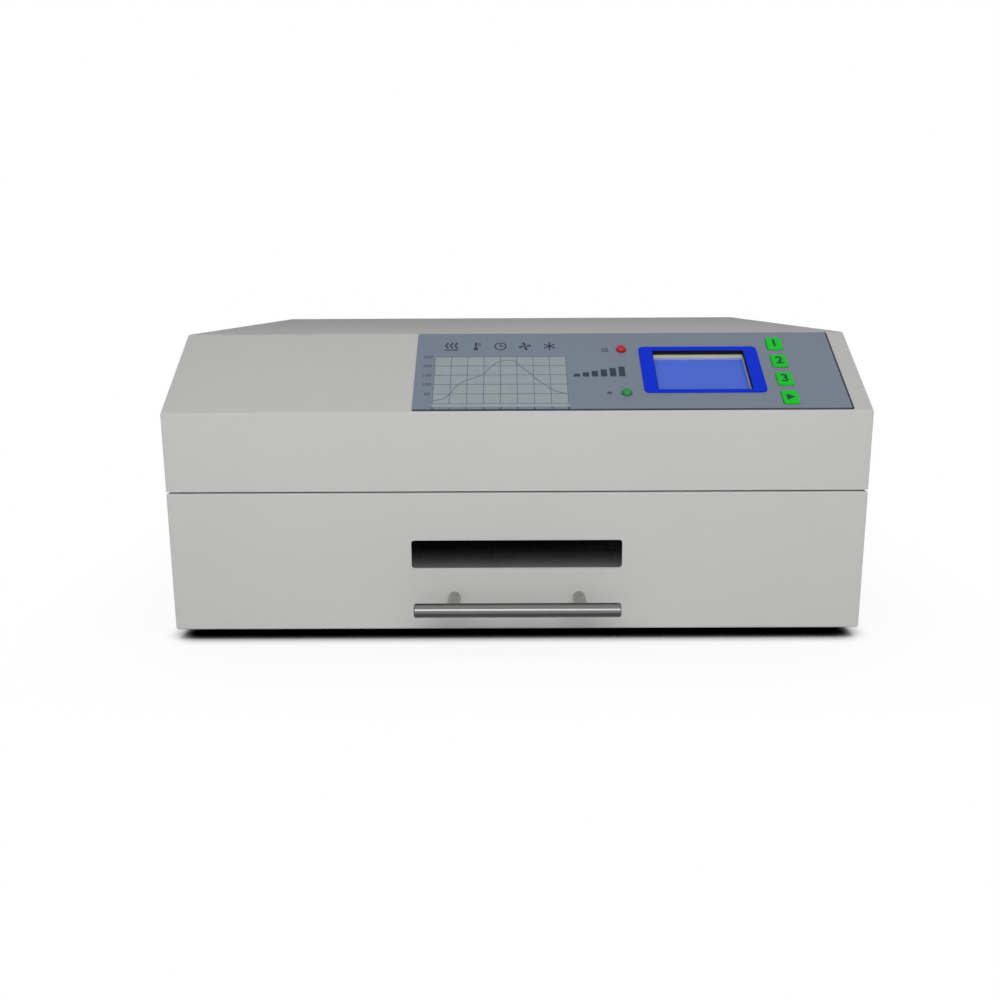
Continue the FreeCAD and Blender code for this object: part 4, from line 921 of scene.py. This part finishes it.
class OVEN_OT_chart(Operator):
    """Temperature chart printed on the panel film: field, grid, profile and numbers"""

    bl_idname = "oven.chart"
    bl_label = "Temperature chart"

    # The profile warms, soaks, peaks and cools, in columns and rows of the grid.
    profile = (
        (0, 0.3), (0.6, 0.5), (1.0, 1.0), (1.3, 1.7), (1.8, 2.3), (2.4, 2.7), (3.0, 3.1), (3.3, 3.7),
        (3.8, 4.35), (4.3, 4.6), (4.8, 4.55), (5.2, 4.0), (5.7, 3.3), (6.2, 2.5), (6.7, 1.9), (7.3, 1.25),
        (8.0, 1.0),
    )

    def execute(self, context):
        colours, panel = context.scene.oven_colours, context.scene.oven_panel
        place = panel_place()
        ink = panel.ink_thick
        left, right = panel.chart_x - panel.chart_width / 2, panel.chart_x + panel.chart_width / 2
        foot, head = panel.chart_y - panel.chart_height / 2, panel.chart_y + panel.chart_height / 2
        column, row = panel.chart_width / panel.chart_columns, panel.chart_height / panel.chart_rows
        half = panel.line_width / 2

        field = bmesh.new()
        add_bar(field, (left - half, right + half), (foot - panel.chart_apron, head + half), (0.0, ink))
        rims = [edge for edge in field.edges if abs((edge.verts[0].co - edge.verts[1].co).z) > ink / 2]
        round_edges(field, rims, panel.chart_round)
        paper = finished(printed, "chart_paper", colours.chart, 0.45)
        new_piece("chart_field", field, paper, "casing", place)

        # Lines that cross end at different heights, so that no two faces share a plane.
        lines = bmesh.new()
        for index in range(panel.chart_columns + 1):
            x = left + index * column
            add_bar(lines, (x - half, x + half), (foot, head), (0.0, 2 * ink))
        for index in range(panel.chart_rows + 1):
            y = foot + index * row
            add_bar(lines, (left, right), (y - half, y + half), (0.0, 2.5 * ink))
        line_ink = finished(printed, "chart_line_ink", colours.chart_line)
        new_piece("chart_grid", lines, line_ink, "casing", place)

        curve = bmesh.new()
        add_ribbon(curve, self.smooth([(left + x * column, foot + y * row) for x, y in self.profile]),
                   panel.profile_width, (0.0, 3 * ink))
        new_piece("chart_profile", curve, line_ink, "casing", place)

        numbers = bmesh.new()
        size = panel.number_height
        below, beside = 0.7 * size, 0.6 * size
        for index in range(panel.chart_columns + 1):
            spot = (left + index * column, foot - panel.chart_apron - below)
            add_words(numbers, str(index), size, (0.0, ink), spot)
        for index in range(1, panel.chart_rows + 1):
            spot = (left - beside, foot + index * row)
            add_words(numbers, str(index * panel.chart_step), size, (0.0, ink), spot, "RIGHT")
        dark_ink = finished(printed, "dark_ink", colours.ink)
        new_piece("chart_numbers", numbers, dark_ink, "casing", place)
        return {"FINISHED"}

    @staticmethod
    def smooth(points, steps=6):
        """Points of a smooth line through the given ones."""
        knots = [Vector(point) for point in points]
        made = []
        for before, start, end, after in zip(knots[:1] + knots, knots, knots[1:], knots[2:] + knots[-1:]):
            handles = start + (end - before) / 6, end - (after - start) / 6
            made += interpolate_bezier(start, *handles, end, steps + 1)[:-1]
        return made + knots[-1:]


class OVEN_OT_signs(Operator):
    """Plain signs printed on the panel film: a row above the chart, level bars and one by each lamp"""

    bl_idname = "oven.signs"
    bl_label = "Panel signs"

    def execute(self, context):
        colours, panel = context.scene.oven_colours, context.scene.oven_panel
        place = panel_place()
        layer = (0.0, panel.ink_thick)
        shape = bmesh.new()
        signs = (HEAT_SIGN, TEMPERATURE_SIGN, CLOCK_SIGN, FAN_SIGN, COLD_SIGN)
        for index, sign in enumerate(signs):
            x = panel.chart_x + (index - (len(signs) - 1) / 2) * panel.sign_pitch
            add_sign(shape, sign, (x, panel.sign_y), panel.sign_height, layer)
        step = panel.level_width / panel.level_bars
        bar = 0.7 * step
        foot = panel.level_y - panel.level_height / 2
        for index in range(panel.level_bars):
            left = panel.level_x - panel.level_width / 2 + index * step
            head = foot + panel.level_height * (index + 2) / (panel.level_bars + 1)
            add_bar(shape, (left, left + bar), (foot, head), layer)
        lamps = local_points("status_leds", place)
        for sign, side in ((HEAT_SIGN, 1), (COLD_SIGN, -1)):
            low, high = span([point for point in lamps if point.y * side > 0])
            centre = ((low.x + high.x) / 2 - panel.lamp_sign_gap, (low.y + high.y) / 2)
            add_sign(shape, sign, centre, panel.lamp_sign_height, layer)
        sign_ink = finished(printed, "sign_ink", colours.ink)
        new_piece("panel_signs", shape, sign_ink, "casing", place)
        return {"FINISHED"}


class OVEN_OT_key_legends(Operator):
    """Numerals and a start mark on the keys"""

    bl_idname = "oven.key_legends"
    bl_label = "Key legends"

    def execute(self, context):
        colours, panel = context.scene.oven_colours, context.scene.oven_panel
        place = panel_place()
        ink = finished(printed, "key_ink", colours.key_ink)
        size = panel.legend_height
        bold, start_radius, start_back = 0.04 * size, 0.5 * size, 0.08 * size
        for key in ("key_1", "key_2", "key_3", "key_4"):
            low, high = span(local_points(key, place))
            x, y = (low.x + high.x) / 2, (low.y + high.y) / 2
            layer = (high.z, high.z + panel.ink_thick)
            shape = bmesh.new()
            if key == "key_4":
                add_disc(shape, (x - start_back, y), start_radius, layer, segments=3, lean=-math.pi / 2)
            else:
                add_words(shape, key[-1], size, layer, (x, y), weight=bold)
            new_piece(f"{key}_legend", shape, ink, key, place)
        return {"FINISHED"}


class OVEN_OT_rocker_marks(Operator):
    """Bar and ring marks on the mains rocker"""

    bl_idname = "oven.rocker_marks"
    bl_label = "Rocker marks"

    def execute(self, context):
        colours, panel = context.scene.oven_colours, context.scene.oven_panel
        rocker = frame["nodes"]["power_rocker"].data
        low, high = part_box("power_rocker")
        middle = (low + high) / 2
        ink = finished(printed, "rocker_ink", colours.rocker_ink)
        rearward, off_middle = 0.8, 2 * MM
        for name, mark, side in (("rocker_on_mark", ON_MARK, 1), ("rocker_off_mark", OFF_MARK, -1)):
            faces = [face for face in rocker.polygons
                     if face.normal.y > rearward and (face.center.z - middle.z) * side > off_middle]
            if not faces:
                raise RuntimeError("the rocker has no face for its mark")
            area = sum(face.area for face in faces)
            outward = sum((face.normal * face.area for face in faces), Vector()).normalized()
            centre = sum((face.center * face.area for face in faces), Vector()) / area
            shape = bmesh.new()
            add_sign(shape, mark, (0, 0), panel.mark_height, (0.0, 3 * panel.ink_thick))
            place = axes_place(Vector((-1, 0, 0)), outward, centre)
            new_piece(name, shape, ink, "power_rocker", place)
        return {"FINISHED"}


def ring_shape(outer, width, thick, rounding):
    """A rectangular ring of an outer size and a width, thick along z, with rounded edges."""
    shape = bmesh.new()
    size = Matrix.Diagonal((outer[0], outer[1], 1.0, 1.0))
    bmesh.ops.create_grid(shape, x_segments=1, y_segments=1, size=0.5, matrix=size)
    middle = list(shape.faces)
    bmesh.ops.inset_region(shape, faces=middle, thickness=width, use_boundary=True, use_even_offset=True)
    bmesh.ops.delete(shape, geom=middle, context="FACES")
    thicken(shape, list(shape.faces), (-thick / 2, thick / 2))
    bmesh.ops.recalc_face_normals(shape, faces=shape.faces)
    round_edges(shape, [edge for edge in shape.edges if edge.calc_face_angle(0.0) > 0.5], rounding)
    return shape


def ring_like(node, place, rounding):
    """A ring as large as a solid one, with its lowest and highest corner and width in a place's axes."""
    points = local_points(node, place)
    low, high = span(points)
    least_width = MM
    width = high.x - max(point.x for point in points if point.x < high.x - least_width)
    size = high - low
    shape = ring_shape(size.xy, width, size.z, rounding)
    bmesh.ops.translate(shape, vec=(low + high) / 2, verts=shape.verts)
    return shape, low, high, width


class OVEN_OT_door_seal(Operator):
    """Woven seal round the drawer's back"""

    bl_idname = "oven.door_seal"
    bl_label = "Door seal"

    def execute(self, context):
        colours, heat = context.scene.oven_colours, context.scene.oven_heat
        place = axes_place(Vector((1, 0, 0)), Vector((0, -1, 0)), Vector())
        shape = ring_like("door_gasket", place, heat.seal_round)[0]
        fibre = finished(woven_seal, "gasket_fibre", colours.seal)
        seal = new_piece("woven_door_seal", shape, fibre, "drawer", place)
        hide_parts("door_gasket")
        return {"FINISHED"}


class OVEN_OT_display_seal(Operator):
    """Foam strip between the slope and the display's frame, and a black sleeve in the opening that is
    painted shade on the opening's walls
    """

    bl_idname = "oven.display_seal"
    bl_label = "Display seal"

    def execute(self, context):
        heat = context.scene.oven_heat
        place = panel_place()
        shape, low, high, width = ring_like("display_gasket", place, heat.foam_round)
        black_foam = finished(foam, "foam_black", BASE_COLOURS["foam_black"])
        strip = new_piece("display_foam_strip", shape, black_foam, "casing", place)
        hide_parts("display_gasket")
        # Painted shade: a black sleeve lines the display's opening, where the walls lie in shadow.
        face = span(local_points("display_bezel", place))[1].z
        opening = [side - 2 * width - 2 * heat.liner_gap for side in (high - low).xy]
        shade_sleeve = ring_shape(opening, heat.liner_wall, face - high.z, heat.liner_wall / 4)
        rise = Matrix.Translation((*((low + high) / 2).xy, (face + high.z) / 2))
        shade_black_colour = (0.004, 0.004, 0.004)
        black = finished(moulded_plastic, "liner_black", shade_black_colour, 0.6, 0.1)
        new_piece("display_opening_liner", shade_sleeve, black, "casing", place @ rise)
        return {"FINISHED"}


class OVEN_OT_heater_wire(Operator):
    """Coiled wire inside each quartz tube"""

    bl_idname = "oven.heater_wire"
    bl_label = "Heater wire"

    def execute(self, context):
        heat = context.scene.oven_heat
        low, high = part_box("heater_tubes")
        rows = sorted(vertex.co.y for vertex in frame["nodes"]["heater_tubes"].data.vertices)
        least_gap = 5 * MM
        tubes = [[rows[0]]]
        for y in rows[1:]:
            if y - tubes[-1][-1] > least_gap:
                tubes.append([])
            tubes[-1].append(y)
        turns = int((high.x - low.x - 2 * heat.coil_margin) / heat.coil_pitch)
        steps, sides, weld = 12, 6, 0.01 * MM
        shape = bmesh.new()
        for tube in tubes:
            axis = Vector((-turns * heat.coil_pitch / 2, (tube[0] + tube[-1]) / 2, (low.z + high.z) / 2))
            start = Matrix.Translation(axis + Vector((0, heat.coil_radius, 0)))
            made = bmesh.ops.create_circle(shape, radius=heat.wire_radius, segments=sides, matrix=start)
            ring = made["verts"]
            loop = list({edge for vertex in ring for edge in vertex.link_edges})
            bmesh.ops.spin(shape, geom=ring + loop, cent=axis, axis=(1, 0, 0),
                           dvec=(heat.coil_pitch / steps, 0, 0), angle=2 * math.pi, steps=steps,
                           use_merge=False, use_duplicate=False)
        runs = list(shape.verts) + list(shape.edges) + list(shape.faces)
        for index in range(1, turns):
            turn_copy = bmesh.ops.duplicate(shape, geom=runs)["geom"]
            bmesh.ops.translate(shape, vec=(index * heat.coil_pitch, 0, 0),
                                verts=[item for item in turn_copy if isinstance(item, bmesh.types.BMVert)])
        bmesh.ops.remove_doubles(shape, verts=shape.verts, dist=weld)
        bmesh.ops.holes_fill(shape, edges=[edge for edge in shape.edges if edge.is_boundary], sides=0)
        alloy, scale = (0.22, 0.2, 0.18), (0.2, 0.13, 0.09)
        wire = finished(brushed_metal, "heater_alloy", alloy, 0.45, (300, 300, 300), scale)
        piece = new_piece("heater_coils", shape, wire, "casing")
        for face in piece.data.polygons:
            face.use_smooth = True
        return {"FINISHED"}


class OVEN_OT_stage(Operator):
    """Camera, lamps, floor and background"""

    bl_idname = "oven.stage"
    bl_label = "Stage"

    floor_reach = 12.0
    contact_reach, shadow_reach = 0.022, 0.16
    # Each lamp's name, power, place, target, width and height, and the rays that it serves.
    lamps = (
        ("front_lamp", "front_power", (0.0, -1.25, 1.08), (0.0, -0.15, 0.14), (1.8, 0.9), "diffuse"),
        ("fill_lamp", "fill_power", (0.0, -1.9, 0.2), (0.0, -0.2, 0.1), (1.8, 0.4), "diffuse"),
        ("left_lamp", "side_power", (-1.9, 0.1, 0.13), (0.0, 0.1, 0.13), (1.2, 0.18), "diffuse"),
        ("right_lamp", "side_power", (1.9, 0.1, 0.13), (0.0, 0.1, 0.13), (1.2, 0.18), "diffuse"),
        ("rear_lamp", "rear_power", (0.0, 2.0, 0.13), (0.0, 0.2, 0.13), (1.8, 0.18), "diffuse"),
        ("strip_lamp", "strip_power", (0.0, -1.05, 0.42), (0.0, -0.25, 0.034), (1.2, 0.3), "glossy"),
    )

    def execute(self, context):
        scene = context.scene
        stage = scene.oven_stage
        scene.view_settings.view_transform = "Standard"
        self.camera(scene, stage)
        for lamp in self.lamps:
            self.lamp(scene, stage, *lamp)
        self.background(scene, stage)
        self.floor(scene, stage)
        return {"FINISHED"}

    def camera(self, scene, stage):
        """A camera at the photograph's viewing angle."""
        dip, swing, roll = stage.camera_dip, stage.camera_swing, stage.camera_roll
        forward = Vector((math.sin(swing) * math.cos(dip), math.cos(swing) * math.cos(dip), -math.sin(dip)))
        right = Vector((math.cos(swing), -math.sin(swing), 0.0))
        tipped = right * math.cos(roll) + right.cross(forward) * math.sin(roll)
        lens = bpy.data.cameras.new("camera")
        lens.sensor_width = 36.0
        lens.lens = stage.camera_lens
        lens.clip_start = 0.01
        camera = bpy.data.objects.new("camera", lens)
        camera.matrix_world = axes_place(tipped, -forward, stage.camera_place)
        scene.collection.objects.link(camera)
        scene.camera = camera

    def lamp(self, scene, stage, name, watts, spot, target, size, rays):
        """A soft rectangular lamp turned towards a target, which serves matt or mirroring surfaces."""
        light = bpy.data.lights.new(name, "AREA")
        light.shape = "RECTANGLE"
        light.size, light.size_y = size
        light.energy = getattr(stage, watts)
        lamp = bpy.data.objects.new(name, light)
        aim = Vector(target) - Vector(spot)
        lamp.matrix_world = Matrix.Translation(spot) @ aim.to_track_quat("-Z", "Y").to_matrix().to_4x4()
        lamp.visible_camera = False
        lamp.visible_glossy = rays == "glossy"
        lamp.visible_diffuse = rays == "diffuse"
        scene.collection.objects.link(lamp)

    def background(self, scene, stage):
        """Even light from all round, seen as plain white."""
        scene.world = bpy.data.worlds.new("studio")
        shader = Shader(scene.world, "Background")
        level = shader.node("ShaderNodeMapRange", {}, {"Value": shader.seen(), "To Min": stage.ambient})
        shader.feed({"Color": (1.0, 1.0, 1.0), "Strength": level})

    def floor(self, scene, stage):
        """A pale floor that shows white, with the object's shadow on it."""
        shape = bmesh.new()
        bmesh.ops.create_grid(shape, x_segments=1, y_segments=1, size=self.floor_reach)
        mesh = bpy.data.meshes.new("floor")
        shape.to_mesh(mesh)
        shape.free()
        floor = bpy.data.objects.new("floor", mesh)
        scene.collection.objects.link(floor)
        finish = Finish("studio_floor")
        finish.feed({"Base Color": stage.floor, "Roughness": 0.8, "Specular IOR Level": 0.0})
        near, far = [finish.node("ShaderNodeAmbientOcclusion", {"samples": 16}, {"Distance": reach}, "AO")
                     for reach in (self.contact_reach, self.shadow_reach)]
        open_floor = finish.rise(near, 0.3, 0.88) * (0.9 + 0.1 * far)
        shade = finish.mix(open_floor, (0.0, 0.0, 0.0), (1.0, 1.0, 1.0))
        finish.cover(finish.seen(), finish.node("ShaderNodeEmission", {}, {"Color": shade}))
        mesh.materials.append(finish.material)


OPERATORS = (
    OVEN_OT_finish_casing, OVEN_OT_finish_chamber, OVEN_OT_finish_rear, OVEN_OT_finish_electronics,
    OVEN_OT_finish_panel, OVEN_OT_finish_drawer, OVEN_OT_chart, OVEN_OT_signs, OVEN_OT_key_legends,
    OVEN_OT_rocker_marks, OVEN_OT_door_seal, OVEN_OT_display_seal, OVEN_OT_heater_wire, OVEN_OT_stage,
)


class OVEN_PT_looks(Panel):
    """Lists the oven's looks in the sidebar"""

    bl_idname = "OVEN_PT_looks"
    bl_label = "Reflow oven"
    bl_space_type = "VIEW_3D"
    bl_region_type = "UI"
    bl_category = "Reflow oven"

    def draw(self, context):
        for operator in OPERATORS:
            self.layout.operator(operator.bl_idname)
        for group in SETTINGS:
            settings = getattr(context.scene, group)
            box = self.layout.box()
            for name in settings.bl_rna.properties.keys():
                if name not in {"rna_type", "name"}:
                    box.prop(settings, name)


SETTINGS = {
    "oven_colours": OvenColours,
    "oven_panel": OvenPanel,
    "oven_heat": OvenHeat,
    "oven_stage": OvenStage,
}
CLASSES = (*SETTINGS.values(), *OPERATORS, OVEN_PT_looks)


def register():
    for kind in CLASSES:
        bpy.utils.register_class(kind)
    for name, kind in SETTINGS.items():
        setattr(bpy.types.Scene, name, PointerProperty(type=kind))


def unregister():
    for name in SETTINGS:
        delattr(bpy.types.Scene, name)
    for kind in reversed(CLASSES):
        bpy.utils.unregister_class(kind)


def main():
    register()
    for operator in OPERATORS:
        group, name = operator.bl_idname.split(".")
        getattr(getattr(bpy.ops, group), name)()


if __name__ == "__main__":
    main()
